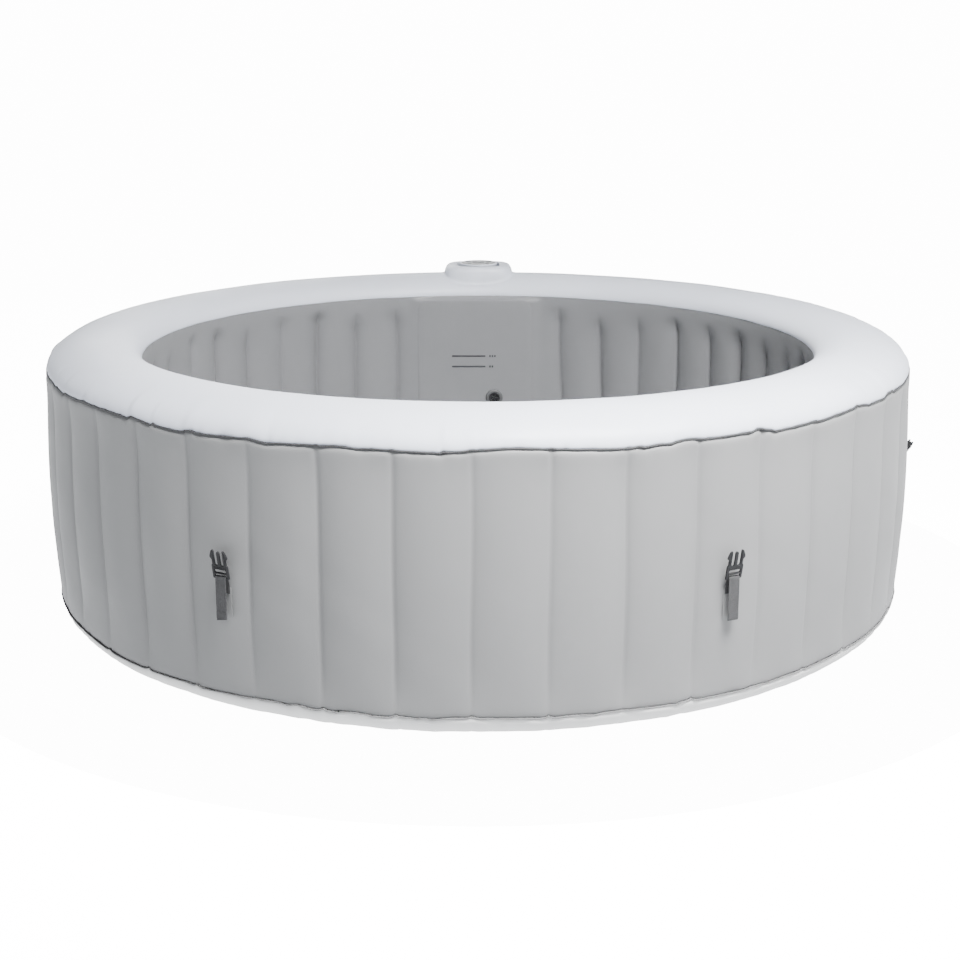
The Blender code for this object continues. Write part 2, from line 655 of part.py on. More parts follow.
def control_panel():
    low = HEAD_TOP_Z + GAP
    high = low + PANEL_DISC_THICK
    panel = turned("control_panel", [(0, low), (PANEL_DISC_RADIUS, low), (PANEL_DISC_RADIUS, high - 0.001),
                                     (PANEL_DISC_RADIUS - 0.001, high), (0, high)],
                   "panel_film", 32, (0, HEAD_Y, 0))
    window = rounded_rectangle((-0.0170, -0.0120), (0.0170, 0.0060), 0.002, 2)
    combine(panel, cutter(prism_mesh(window, low - 0.01, high + 0.01), (0, HEAD_Y, 0)), "DIFFERENCE")
    lens = rounded_rectangle((-0.0166, -0.0116), (0.0166, 0.0056), 0.002, 2)
    add_node("display_lens", prism_mesh(lens, low, high + 0.0004), "lens", (0, HEAD_Y, 0))
    for name, x, y in button_places():
        hole = rod_mesh(BUTTON_RADIUS + 0.0004, low - 0.01, high + 0.01, 12)
        combine(panel, cutter(hole, (x, y, 0)), "DIFFERENCE")
        bottom = low + BUTTON_TRAVEL + 0.0002
        top = high + BUTTON_TRAVEL
        cap = [(0, bottom), (BUTTON_RADIUS, bottom), (BUTTON_RADIUS, top - 0.0006),
               (BUTTON_RADIUS - 0.0008, top), (0, top)]
        bm = turned_mesh([(radius, z - top) for radius, z in cap], 12)
        add_node(name, bm, "grey_plastic", (x, y, top))


# Lid straps

def buckle_outline():
    """A three-pronged side-release half: ladder frame below, one straight and two barbed prongs above."""
    half = [(0, -2), (17, -2), (19, 0), (19, 26), (16.5, 28), (16.5, 39), (20.5, 43), (20, 46.5), (15.5, 58),
            (12, 59.5), (10.5, 57.5), (10.5, 30), (8, 26.5), (4, 26.5), (3.5, 30), (3.5, 53), (2, 56)]
    mirrored = [(-x, z) for x, z in reversed(half) if x > 0]
    return [(x * MM, z * MM) for x, z in half + [(0, 56.5)] + mirrored]


def strap(index, angle, lean):
    """One lid strap: the anchor patch on the wall, the buckle half on it, and the webbing's free tail."""
    turn = math.radians(angle)
    crest = TUB_RADIUS + WALL_BULGE
    bar = around(crest + BAR_STANDOFF, angle, STRAP_BAR_Z)

    patch = rounded_rectangle((-0.022, -0.085), (0.022, -0.020), 0.006, 2)
    anchor_mesh = prism_mesh(patch, BAR_STANDOFF - 0.0020, BAR_STANDOFF - 0.0005, "XZ")
    anchor = add_node(f"strap_anchor_{index}", anchor_mesh, "wall_vinyl", bar, (0, 0, turn))
    back = BAR_STANDOFF - 0.0016
    front = back - WEBBING_THICK
    strip = [(back, -0.080), (back, -0.016), (0.0064, -0.003), (0.0050, -0.003),
             (front, -0.018), (front, -0.080)]
    half_web = WEBBING_WIDTH / 2
    combine(anchor, cutter(prism_mesh(strip, -half_web, half_web, "YZ"), bar, (0, 0, turn)), "UNION")

    buckle = add_node(f"buckle_{index}", prism_mesh(buckle_outline(), -0.002, 0.002, "XZ"), "buckle_plastic",
                      bar, (math.radians(lean), 0, turn))
    for low, high in ((0.002, 0.008), (0.011, 0.018)):
        slot = box_mesh((-0.0135, -0.01, low), (0.0135, 0.01, high))
        combine(buckle, cutter(slot, bar, (math.radians(lean), 0, turn)), "DIFFERENCE")

    inner, outer = 0.0031, 0.0031 + WEBBING_THICK
    hook = [(-inner, -TAIL_LENGTH), (-outer, -TAIL_LENGTH + 0.002)]
    for step in range(7):
        bend = math.radians(180 - 30 * step)
        hook.append((outer * math.cos(bend), outer * math.sin(bend)))
    hook += [(outer, -0.002), (inner, -0.002)]
    for step in range(6, -1, -1):
        bend = math.radians(180 - 30 * step)
        hook.append((inner * math.cos(bend), inner * math.sin(bend)))
    add_node(f"strap_tail_{index}", prism_mesh(hook, -half_web, half_web, "YZ"), "webbing", bar, (0, 0, turn))


def build():
    clear_scene()
    outer_wall()
    top_rim()
    inner_wall()
    base_panel()
    floor_panel()
    bubble_ring()
    wall_webs()
    seam_flange("upper_seam_flange", UPPER_SEAM_Z)
    seam_flange("lower_seam_flange", LOWER_SEAM_Z)
    service_panel()
    equipment_housing()
    service_cover()
    power_inlet()
    rotor_unit("blower", (0, 0.835, BLOWER_Z), TO_REAR, (0.030, 0.050), (0.060, 0.060), 0.030, 8)
    rotor_unit("pump", (FILTER_X, 0.955, FILTER_Z), TO_TUB, (0.027, 0.060), (0.040, 0.040), 0.016, 6)
    heater_tube()
    control_board()
    hoses()
    return_fitting()
    return_grille()
    filter_group()
    drain_group()
    inflation_group()
    control_head()
    control_panel()
    for index, (angle, lean) in enumerate(STRAPS, start=1):
        strap(index, angle, lean)


build()
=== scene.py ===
"""Looks for the round inflatable hot tub: vinyl skins, welded seams, webbing, buckles and moulded parts.

Metres, +Z up, origin on the tub's axis on the ground. Angles round the tub are in radians from the front (-Y)
towards +X. Soft pieces are closed grids of points worked out from the ribs, seams and puckers below.
"""

from math import copysign, cos, exp, hypot, pi, radians, sin, sqrt

import bmesh
import bpy
import numpy as np
from mathutils import Matrix, Vector
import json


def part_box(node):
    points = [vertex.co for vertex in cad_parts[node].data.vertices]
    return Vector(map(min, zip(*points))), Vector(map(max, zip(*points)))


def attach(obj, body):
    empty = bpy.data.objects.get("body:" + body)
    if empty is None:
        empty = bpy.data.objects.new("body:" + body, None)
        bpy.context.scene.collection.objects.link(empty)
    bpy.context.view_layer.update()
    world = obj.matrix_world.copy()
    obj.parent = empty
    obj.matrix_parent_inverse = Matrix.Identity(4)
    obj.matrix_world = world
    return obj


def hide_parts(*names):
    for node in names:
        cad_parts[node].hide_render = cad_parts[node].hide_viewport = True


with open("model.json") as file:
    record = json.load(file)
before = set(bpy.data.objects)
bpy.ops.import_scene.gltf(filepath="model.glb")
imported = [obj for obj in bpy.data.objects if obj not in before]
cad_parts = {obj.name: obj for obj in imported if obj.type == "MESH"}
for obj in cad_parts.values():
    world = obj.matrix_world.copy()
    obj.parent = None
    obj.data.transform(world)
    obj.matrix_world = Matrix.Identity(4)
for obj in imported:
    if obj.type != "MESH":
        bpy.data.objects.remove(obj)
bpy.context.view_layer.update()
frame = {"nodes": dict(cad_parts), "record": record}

MM = 0.001
FULL_TURN = 2 * pi

# The tub's own sizes, as the frame has them
RIB_COUNT = 42
RIB_PITCH = FULL_TURN / RIB_COUNT
TUB_HEIGHT = 0.66
TUB_RADIUS = 1.02
WALL_BULGE = 0.0116
INNER_RADIUS = 0.804
UPPER_SEAM_Z = 0.595
INNER_SEAM_Z = 0.606
LOWER_SEAM_Z = 0.070
CROWN_RADIUS = 0.897
GROUND_RADIUS = 0.863

# Creases and seams
OUTER_CREASE = 0.0112
INNER_CREASE = 0.0165
OUTER_COLUMNS_PER_RIB = 22
INNER_COLUMNS_PER_RIB = 16
PLAIN_COLUMNS = 1008
RIM_LAP = 0.0008
SEAM_GAP = 0.0006
UPPER_SWING = 0.0085
LOWER_SWING = 0.0052

# Service panel on the inside, facing the tub
PANEL_LOW, PANEL_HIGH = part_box("service_panel")
PANEL_Y = PANEL_LOW.y

# Control head
HEAD_Y = 0.908
HEAD_HALF_X = 0.100
HEAD_HALF_Y = 0.086
HEAD_TOP_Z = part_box("control_head")[1].z
DISC_TOP_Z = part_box("control_panel")[1].z

# Straps: angle round the tub in degrees, and how far each buckle leans out
STRAPS = ((-150, 10), (-90, 10), (-28.5, 10), (28.5, 10), (90, 32), (150, 10))
BAR_RADIUS = TUB_RADIUS + WALL_BULGE + 0.011
BAR_Z = 0.318
WEBBING_WIDTH = 0.025
WEBBING_THICK = 0.0014
TAIL_LENGTH = 0.089

# Camera and studio
CAMERA_PLACE = (0.005, -3.944, 1.334)
CAMERA_PITCH = radians(74.861)
CAMERA_LENS = 61.46
CAMERA_SENSOR = 36
SKY_STRENGTH = 0.26
FLOOR_BOUNCE = 2.40
STUDIO_REACH = 34.0
STUDIO_SEGMENTS = 96

# Drain and air valve on the back of the wall
VALVE_ANGLE = 158.571
DRAIN_Z = 0.105
INFLATION_Z = 0.40


# Camera and studio

def in_scene(name, data):
    """A new object in the scene."""
    thing = bpy.data.objects.new(name, data)
    bpy.context.scene.collection.objects.link(thing)
    return thing


def studio():
    """The camera, the pale floor that rises into a backdrop, and the soft lights."""
    camera = in_scene("camera", bpy.data.cameras.new("camera"))
    camera.location = CAMERA_PLACE
    camera.rotation_euler = (CAMERA_PITCH, 0, 0)
    camera.data.lens = CAMERA_LENS
    camera.data.sensor_width = CAMERA_SENSOR
    camera.data.clip_end = 200
    bpy.context.scene.camera = camera

    bpy.context.scene.world = soft_surround()
    soft_light("key", (1.08, -2.0, 3.3), (0.42, -0.9, 0.6), 1.5, 120, (1.0, 0.995, 0.985), 75)
    soft_light("right_fill", (4.2, -1.6, 1.0), (0.5, 0, 0.3), 2.2, 40, (1.0, 0.985, 0.96))
    soft_light("rear_fill", (-1.2, 4.2, 1.9), (0, 0.9, 0.3), 2.6, 55, (0.97, 0.98, 1.0))

    flat, curved = 0.55, 0.45
    profile = [(STUDIO_REACH * flat * step / 14, 0.0) for step in range(15)]
    for step in range(1, 25):
        bend = radians(90 * step / 24)
        profile.append((STUDIO_REACH * (flat + curved * sin(bend)), STUDIO_REACH * curved * (1 - cos(bend))))
    for step in range(1, 13):
        bend = radians(90 * step / 12)
        profile.append((STUDIO_REACH * cos(bend), STUDIO_REACH * (curved + flat * sin(bend))))
    angle = even_angles(STUDIO_SEGMENTS)
    points = np.concatenate([ring(radius, angle, height) for radius, height in profile[1:-1]]).tolist()
    faces = grid_faces(len(profile) - 2, STUDIO_SEGMENTS, True).tolist()
    low, high = len(points), len(points) + 1
    top = len(points) - STUDIO_SEGMENTS
    points += [(0, 0, 0), (0, 0, profile[-1][1])]
    for turn in range(STUDIO_SEGMENTS):
        after = (turn + 1) % STUDIO_SEGMENTS
        faces.append((low, turn, after))
        faces.append((high, top + after, top + turn))
    mesh = bpy.data.meshes.new("studio_floor")
    mesh.from_pydata(points, [], faces)
    mesh.shade_smooth()
    floor = in_scene("studio_floor", mesh)
    mesh.materials.append(floor_material())
    floor.visible_diffuse = False
    floor.visible_glossy = False
    floor.visible_transmission = False
    floor.visible_shadow = False


def soft_surround():
    """An even white surround, brighter below the horizon, as a white floor throws light back."""
    world = bpy.data.worlds.new("soft_surround")
    world.use_nodes = True
    graph = Graph(world.node_tree)
    direction = graph.add("TexCoord", {}).outputs["Generated"]
    upright = graph.remap(graph.axis("Z", direction), -0.15, 0.25, FLOOR_BOUNCE, SKY_STRENGTH)
    sideways = graph.remap(graph.axis("X", direction), -1.0, 1.0, 0.86, 1.08)
    strength = graph.combine(upright, sideways)
    graph.put(graph.nodes["Background"], {"Color": (0.95, 0.97, 1.0, 1), "Strength": strength})
    return world


def soft_light(name, place, target, size, power, colour, spread=180):
    """A round area light aimed at a point."""
    data = bpy.data.lights.new(name, "AREA")
    data.shape = "DISK"
    data.size = size
    data.spread = radians(spread)
    data.energy = power
    data.color = colour
    light = in_scene(name, data)
    light.location = place
    light.rotation_euler = (Vector(target) - Vector(place)).to_track_quat("-Z", "Y").to_euler()


def floor_material():
    """A pale seamless floor that is bright by itself and still takes a soft shadow."""
    material = bpy.data.materials.new("studio_floor")
    material.use_nodes = True
    shader = material.node_tree.nodes["Principled BSDF"]
    shader.inputs["Base Color"].default_value = (0.85, 0.86, 0.87, 1)
    shader.inputs["Roughness"].default_value = 0.9
    shader.inputs["Emission Color"].default_value = (1, 1, 1, 1)
    shader.inputs["Emission Strength"].default_value = 14.0
    return material


# Materials

looks = {}


class Graph:
    """A node tree's nodes, added one after another."""

    def __init__(self, tree):
        self.nodes = tree.nodes
        self.links = tree.links
        self.place = None

    def put(self, node, sockets):
        """Gives each of a node's sockets a value, or a link from another node's output."""
        for socket, value in sockets.items():
            if isinstance(value, bpy.types.NodeSocket):
                self.links.new(value, node.inputs[socket])
            else:
                node.inputs[socket].default_value = value
        return node

    def add(self, kind, sockets, **options):
        node = self.nodes.new("ShaderNode" + kind)
        for option, value in options.items():
            setattr(node, option, value)
        return self.put(node, sockets)

    def remap(self, value, low, high, to_low=0.0, to_high=1.0):
        sockets = {"Value": value, "From Min": low, "From Max": high, "To Min": to_low, "To Max": to_high}
        return self.add("MapRange", sockets).outputs["Result"]

    def combine(self, first, second, operation="MULTIPLY"):
        return self.add("Math", {0: first, 1: second}, operation=operation).outputs["Value"]

    def axis(self, name, source=None):
        return self.add("SeparateXYZ", {0: source or self.place}).outputs[name]


class Look(Graph):
    """A material, in the row frame's own metres. It is kept under its name in looks."""

    def __init__(self, name, roughness, metallic=0.0, specular=0.5):
        material = bpy.data.materials.new(name)
        material.use_nodes = True
        super().__init__(material.node_tree)
        self.shader = self.nodes["Principled BSDF"]
        self.surface({"Roughness": roughness, "Metallic": metallic, "Specular IOR Level": specular})
        self.place = self.add("TexCoord", {}).outputs["Object"]
        self.normal = None
        looks[name] = material

    def surface(self, sockets):
        self.put(self.shader, sockets)

    def stretch(self, scale):
        """The place, scaled differently along each axis."""
        return self.add("Mapping", {"Scale": scale, "Vector": self.place}).outputs["Vector"]

    def noise(self, scale, detail=3.0, roughness=0.5, source=None):
        sockets = {"Scale": scale, "Detail": detail, "Roughness": roughness, "Vector": source or self.place}
        return self.add("TexNoise", sockets).outputs["Fac"]

    def cells(self, scale, feature="F1"):
        sockets = {"Scale": scale, "Vector": self.place}
        return self.add("TexVoronoi", sockets, feature=feature).outputs["Distance"]

    def blend(self, share, first, second):
        """A colour between two, each a colour or another node's output."""
        sockets = {"Factor": share}
        for socket, value in ((6, first), (7, second)):
            sockets[socket] = (*value, 1) if isinstance(value, tuple) else value
        return self.add("Mix", sockets, data_type="RGBA").outputs[2]

    def bump(self, height, distance, strength=1.0):
        sockets = {"Height": height, "Distance": distance, "Strength": strength}
        if self.normal:
            sockets["Normal"] = self.normal
        self.normal = self.add("Bump", sockets).outputs["Normal"]
        self.surface({"Normal": self.normal})


def tint(colour, gain):
    return tuple(min(1.0, channel * gain) for channel in colour)


def vinyl(name, colour, roughness=0.5, dust=0.0, grain=1.0, crease=0.0):
    """Laminated vinyl: fine pebbled grain, faint blotches, slow handling marks and a satin surface."""
    look = Look(name, roughness, specular=0.42)
    blotch = look.remap(look.noise(2.6), 0.3, 0.7)
    base = look.blend(blotch, tint(colour, 0.955), tint(colour, 1.035))
    fleck = look.remap(look.noise(46, 4, 0.6), 0.35, 0.65)
    base = look.blend(look.combine(fleck, 0.35), base, tint(colour, 0.975))
    if dust:
        low = look.remap(look.axis("Z"), 0.10, 0.0, 0.0, dust)
        base = look.blend(look.combine(low, look.noise(9)), base, tint(colour, 0.72))
    # Painted shade: the vinyl darkens towards each rib crease, by the point's crease depth, where shade
    # falls.
    if crease:
        depth = look.add("Attribute", {}, attribute_name="crease").outputs["Fac"]
        crease_shade_and_edge_wear = look.combine(look.combine(depth, 2.2, "POWER"), crease)
        base = look.blend(crease_shade_and_edge_wear, base, tint(colour, 0.45))
    gloss = look.remap(look.noise(7), 0.3, 0.7, roughness - 0.05, roughness + 0.07)
    look.surface({"Base Color": base, "Roughness": gloss, "Sheen Weight": 0.06, "Sheen Roughness": 0.5})
    look.bump(look.noise(5.5, 2), 0.0022, 0.28)
    look.bump(look.cells(620), 0.00028, 0.30 * grain)
    look.bump(look.noise(1500, 2), 0.00008, 0.35 * grain)


def moulded(name, colour, roughness=0.42, texture=1.0, crease_shade_and_edge_wear=0.10, specular=0.5):
    """Injection-moulded plastic: spark-eroded texture, faint flow marks and lighter rubbed edges."""
    look = Look(name, roughness, specular=specular)
    cloud = look.remap(look.noise(21), 0.3, 0.7)
    base = look.blend(cloud, tint(colour, 0.94), tint(colour, 1.06))
    edge = look.remap(look.add("NewGeometry", {}).outputs["Pointiness"], 0.53, 0.62, 0.0, crease_shade_and_edge_wear)
    base = look.blend(look.combine(edge, look.noise(160)), base, tint(colour, 1.9))
    gloss = look.remap(look.noise(60), 0.3, 0.7, roughness - 0.06, roughness + 0.08)
    look.surface({"Base Color": base, "Roughness": gloss})
    look.bump(look.noise(1900, 2, 0.6), 0.00009, 0.5 * texture)


def woven(name, colour):
    """Woven polyester webbing: a herringbone of fine yarns with fuzz and slight fading."""
    look = Look(name, 0.82, specular=0.25)
    place = look.add("UVMap", {}, uv_map="weave").outputs["UV"]
    across, along = look.axis("X", place), look.axis("Y", place)
    zigzag = look.combine(across, 0.0025, "PINGPONG")
    phase = look.combine(look.combine(along, zigzag, "ADD"), FULL_TURN / 0.00125)
    warp = look.remap(look.combine(phase, 0.0, "SINE"), -1, 1)
    rib = look.remap(look.combine(look.combine(across, FULL_TURN / 0.0011), 0.0, "SINE"), -1, 1)
    weave = look.combine(look.combine(warp, 0.7), look.combine(rib, 0.3), "ADD")
    base = look.blend(weave, tint(colour, 0.62), tint(colour, 1.18))
    faded = look.combine(look.remap(look.noise(38, 4), 0.35, 0.7), 0.35)
    base = look.blend(faded, base, tint(colour, 1.35))
    look.surface({"Base Color": base, "Sheen Weight": 0.03, "Sheen Roughness": 0.6})
    look.bump(weave, 0.00045, 0.9)
    look.bump(look.noise(2400, 3, 0.7), 0.0001, 0.6)


def fabric(name, colour, scale=900):
    look = Look(name, 0.85, specular=0.2)
    yarn = look.cells(scale)
    base = look.blend(look.remap(yarn, 0.1, 0.7), tint(colour, 1.05), tint(colour, 0.8))
    look.surface({"Base Color": base, "Sheen Weight": 0.2})
    look.bump(yarn, 0.0003, 0.7)


def brushed_steel(name, colour):
    """Brushed steel: long fine scratches and faint smears."""
    look = Look(name, 0.28, metallic=1.0)
    brushed = look.noise(420, 4, 0.6, look.stretch((1, 1, 0.04)))
    base = look.blend(brushed, tint(colour, 0.86), tint(colour, 1.08))
    look.surface({"Base Color": base, "Roughness": look.remap(brushed, 0.3, 0.7, 0.2, 0.4)})
    look.bump(brushed, 0.00005, 0.5)


def circuit_board(name):
    """A circuit board: green mask over copper tracks."""
    look = Look(name, 0.4)
    track = look.remap(look.cells(260, "DISTANCE_TO_EDGE"), 0.02, 0.05)
    look.surface({"Base Color": look.blend(track, (0.10, 0.30, 0.13), (0.012, 0.11, 0.05))})
    look.bump(track, 0.00006, 0.8)


def dark_lens(name):
    """A dark glossy window with faint dust."""
    look = Look(name, 0.08, specular=0.55)
    dust = look.remap(look.noise(900, 4), 0.55, 0.8, 0.0, 0.25)
    base = look.blend(dust, (0.008, 0.009, 0.012), (0.10, 0.105, 0.11))
    gloss = look.remap(look.noise(140), 0.4, 0.7, 0.06, 0.16)
    look.surface({"Base Color": base, "Roughness": gloss, "Coat Weight": 0.6, "Coat Roughness": 0.05})


WALL = (0.218, 0.220, 0.223)
INNER = (0.216, 0.220, 0.231)
RIM = (0.705, 0.742, 0.830)
BASE = (0.830, 0.830, 0.820)
# The upper seam tape's own dark colour, darkened further as painted shade from the rim's overhang.
UPPER_SEAM_TAPE_AND_SHADE = (0.034, 0.035, 0.038)
LOWER_SEAM = (0.150, 0.151, 0.155)
STRAP = (0.060, 0.0605, 0.063)

# wall_vinyl and inner_vinyl paint shade into their rib creases, inner_vinyl more strongly.
vinyl("wall_vinyl", WALL, 0.50, dust=0.5, crease=0.22)
vinyl("inner_vinyl", INNER, 0.46, crease=0.38)
vinyl("rim_vinyl", RIM, 0.44, grain=0.7)
vinyl("base_vinyl", BASE, 0.58, dust=0.7)
vinyl("seam_vinyl", UPPER_SEAM_TAPE_AND_SHADE, 0.60)
vinyl("lower_seam", LOWER_SEAM, 0.60)
fabric("web_fabric", (0.55, 0.55, 0.54))
moulded("grey_plastic", (0.205, 0.209, 0.216))
moulded("white_plastic", RIM, 0.36, 0.6, 0.0)
moulded("black_plastic", (0.022, 0.023, 0.025), 0.38)
moulded("buckle_plastic", (0.017, 0.0175, 0.019), 0.48, specular=0.22)
moulded("outlet_grey", (0.095, 0.097, 0.101), 0.45)
woven("webbing", STRAP)
moulded("panel_film", (0.36, 0.363, 0.366), 0.30, 0.5, 0.0)
dark_lens("lens")
brushed_steel("steel", (0.62, 0.63, 0.65))
circuit_board("board")
fabric("filter_paper", (0.74, 0.77, 0.79), 500)
moulded("hose", (0.60, 0.62, 0.64), 0.45, 0.8, 0.0)
moulded("print", (0.045, 0.047, 0.051), 0.5, 0.6, 0.0)


# Mesh tools

def even_angles(columns):
    """Angles of evenly spaced columns, right round the tub."""
    return np.arange(columns) * FULL_TURN / columns


def grid_faces(rows, columns, open_rows=False):
    """Quads of a grid whose columns always close into rings, and whose rows may stay open."""
    count = rows - 1 if open_rows else rows
    row = np.arange(count)[:, None] * columns
    step = np.arange(columns)[None, :]
    after = (step + 1) % columns
    above = (row + columns) % (rows * columns)
    quads = np.stack([row + step, row + after, above + after, above + step], axis=-1)
    return quads.reshape(-1, 4)


def add_piece(name, mesh, look, body, stands_for=(), sharp=None):
    """Puts a finished mesh in the scene, shaded smooth, riding on its body."""
    mesh.shade_smooth()
    if sharp:
        mesh.set_sharp_from_angle(angle=radians(sharp))
    mesh.materials.append(looks[look])
    piece = in_scene(name, mesh)
    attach(piece, body)
    if stands_for:
        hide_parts(*stands_for)
    return piece


def ring_body(name, rows, look, stands_for=(), poles=False, sharp=None, creases=None):
    """A closed body on the tub from rings of points, which join up into a tube or end at tips."""
    points = np.stack(rows)
    count, columns = points.shape[:2]
    flat = points.reshape(-1, 3)
    faces = grid_faces(count, columns, poles).tolist()
    if poles:
        flat = np.vstack([flat, points[0].mean(0), points[-1].mean(0)])
        low, high = count * columns, count * columns + 1
        top = (count - 1) * columns
        for step in range(columns):
            after = (step + 1) % columns
            faces.append((low, after, step))
            faces.append((high, top + step, top + after))
    mesh = bpy.data.meshes.new(name)
    mesh.from_pydata(flat.tolist(), [], faces)
    # The crease depths go on the mesh as the 'crease' attribute, which the vinyl looks use to paint shade
    # into the creases.
    if creases:
        shades = np.zeros(len(flat), dtype=np.float32)
        marked = np.concatenate(creases)
        shades[:len(marked)] = marked
        mesh.attributes.new("crease", "FLOAT", "POINT").data.foreach_set("value", shades)
    bm = bmesh.new()
    bm.from_mesh(mesh)
    bmesh.ops.recalc_face_normals(bm, faces=bm.faces)
    bm.to_mesh(mesh)
    bm.free()
    return add_piece(name, mesh, look, "tub", stands_for, sharp)


def ring(radius, angle, height):
    """Points at these radii, angles and heights."""
    radius, angle, height = np.broadcast_arrays(radius, angle, height)
    return np.stack([radius * np.sin(angle), -radius * np.cos(angle), height], axis=-1)


def wrapped(angle):
    """An angle's distance from zero, the short way round."""
    return (angle + pi) % FULL_TURN - pi


def ring_noise(angle, seed, waves):
    """Smooth noise round the tub, about -1 to 1, from a few whole waves."""
    rng = np.random.default_rng(seed)
    total = np.zeros_like(angle)
    for count in waves:
        total = total + rng.uniform(0.5, 1.0) * np.sin(count * angle + rng.uniform(0, FULL_TURN))
    return total / len(waves)


def rib_drift(angle):
    """How far the outer ribs sit from an even spacing, as the skin was stretched a little round the tub."""
    return -0.0105 * np.cos(angle) - 0.0290 * np.sin(angle)


def seam_wave(angle, seed, swing, tooth):
    """How far a welded seam wanders: shallow arcs that meet in kinks, with a small tooth at each rib seam."""
    rng = np.random.default_rng(seed)
    stops = []
    for rib in range(RIB_COUNT):
        stops.append(float(rib))
        for extra in range(rng.integers(0, 4)):
            stops.append(rib + rng.uniform(0.12, 0.88))
    stops = np.array(sorted(stops)) * RIB_PITCH
    levels = rng.uniform(-0.45, 0.45, len(stops)) * swing
    arcs = rng.uniform(-0.15, 0.75, len(stops)) * swing * 0.75
    teeth = rng.uniform(0.2, 1.0, RIB_COUNT) * tooth
    turned = (angle - rib_drift(angle)) % FULL_TURN
    before = np.searchsorted(stops, turned, side="right") - 1
    after = (before + 1) % len(stops)
    length = (stops[after] - stops[before]) % FULL_TURN
    share = (turned - stops[before]) / length
    wave = levels[before] * (1 - share) + levels[after] * share + arcs[before] * 4 * share * (1 - share)
    nearest = np.round(turned / RIB_PITCH).astype(int)
    off = np.abs(turned - nearest * RIB_PITCH) * TUB_RADIUS
    return wave + teeth[nearest % RIB_COUNT] * np.exp(-off / 0.0048)


def puckers(angle, away, seed, count, radius, depth, length, width=0.006):
    """Small creases that start at a seam and die out with distance from it."""
    rng = np.random.default_rng(seed)
    total = np.zeros(np.broadcast(angle, away).shape)
    for pucker in range(count):
        centre = rng.uniform(0, FULL_TURN)
        half = width * rng.uniform(0.6, 1.6) / radius
        deep = depth * rng.uniform(0.25, 1.0)
        long = length * rng.uniform(0.35, 1.0)
        slant = rng.uniform(-0.35, 0.35) / radius
        off = wrapped(angle - centre - slant * away)
        total = total + deep * np.exp(-(off / half) ** 2) * np.exp(-away / long)
    return total


def rib_columns(per_rib, seed, wander, share):
    """Angles of a ribbed wall's columns, one along each crease, which wanders a little with height."""
    rng = np.random.default_rng(seed)
    even = np.arange(per_rib) / per_rib
    spread = even - 0.055 * np.sin(FULL_TURN * even)
    lean = rng.uniform(-1, 1, (RIB_COUNT, 3)) * wander
    base = (np.arange(RIB_COUNT)[:, None] + spread[None, :]).ravel() * RIB_PITCH
    rib = np.repeat(np.arange(RIB_COUNT), per_rib)
    across = np.tile(spread, RIB_COUNT)

    def drift(which):
        tilt, wave, sway = lean[which % RIB_COUNT].T
        return tilt * (share - 0.5) + wave * np.sin(FULL_TURN * share) + sway * np.sin(4 * share)

    shift = drift(rib) * (1 - across) + drift(rib + 1) * across
    return base + shift, across, rib


def crease_depths(seed, low, high):
    return np.random.default_rng(seed).uniform(low, high, RIB_COUNT)


def nearest_crease(values, across, rib):
    """Each column's value from the crease it is nearest to."""
    return np.where(across < 0.5, values[rib], values[(rib + 1) % RIB_COUNT])


def rib_valley(across, rib, depths):
    """0 at a rib's crest and 1 at its creases, scaled by each crease's own depth."""
    centred = 2 * across - 1
    bowl = np.abs(centred) ** 2.15
    weld = np.exp(-((1 - np.abs(centred)) / 0.05) ** 2)
    return (0.86 * bowl + 0.14 * weld) * nearest_crease(depths, across, rib)


def smooth_step(value, low, high):
    share = np.clip((value - low) / (high - low), 0, 1)
    return share * share * (3 - 2 * share)


UPPER_SEED, LOWER_SEED, INNER_SEED = 11, 23, 31


def upper_seam(angle):
    slow = 0.0012 * ring_noise(angle, 5, (3, 7, 11))
    return UPPER_SEAM_Z + seam_wave(angle, UPPER_SEED, UPPER_SWING, 0.0055) + slow


def lower_seam(angle):
    return LOWER_SEAM_Z - 0.0060 + seam_wave(angle, LOWER_SEED, LOWER_SWING, 0.0100)


def inner_seam(angle):
    return INNER_SEAM_Z + 0.0010 * ring_noise(angle, INNER_SEED, (9, 17, 31, 43))


# Soft skins

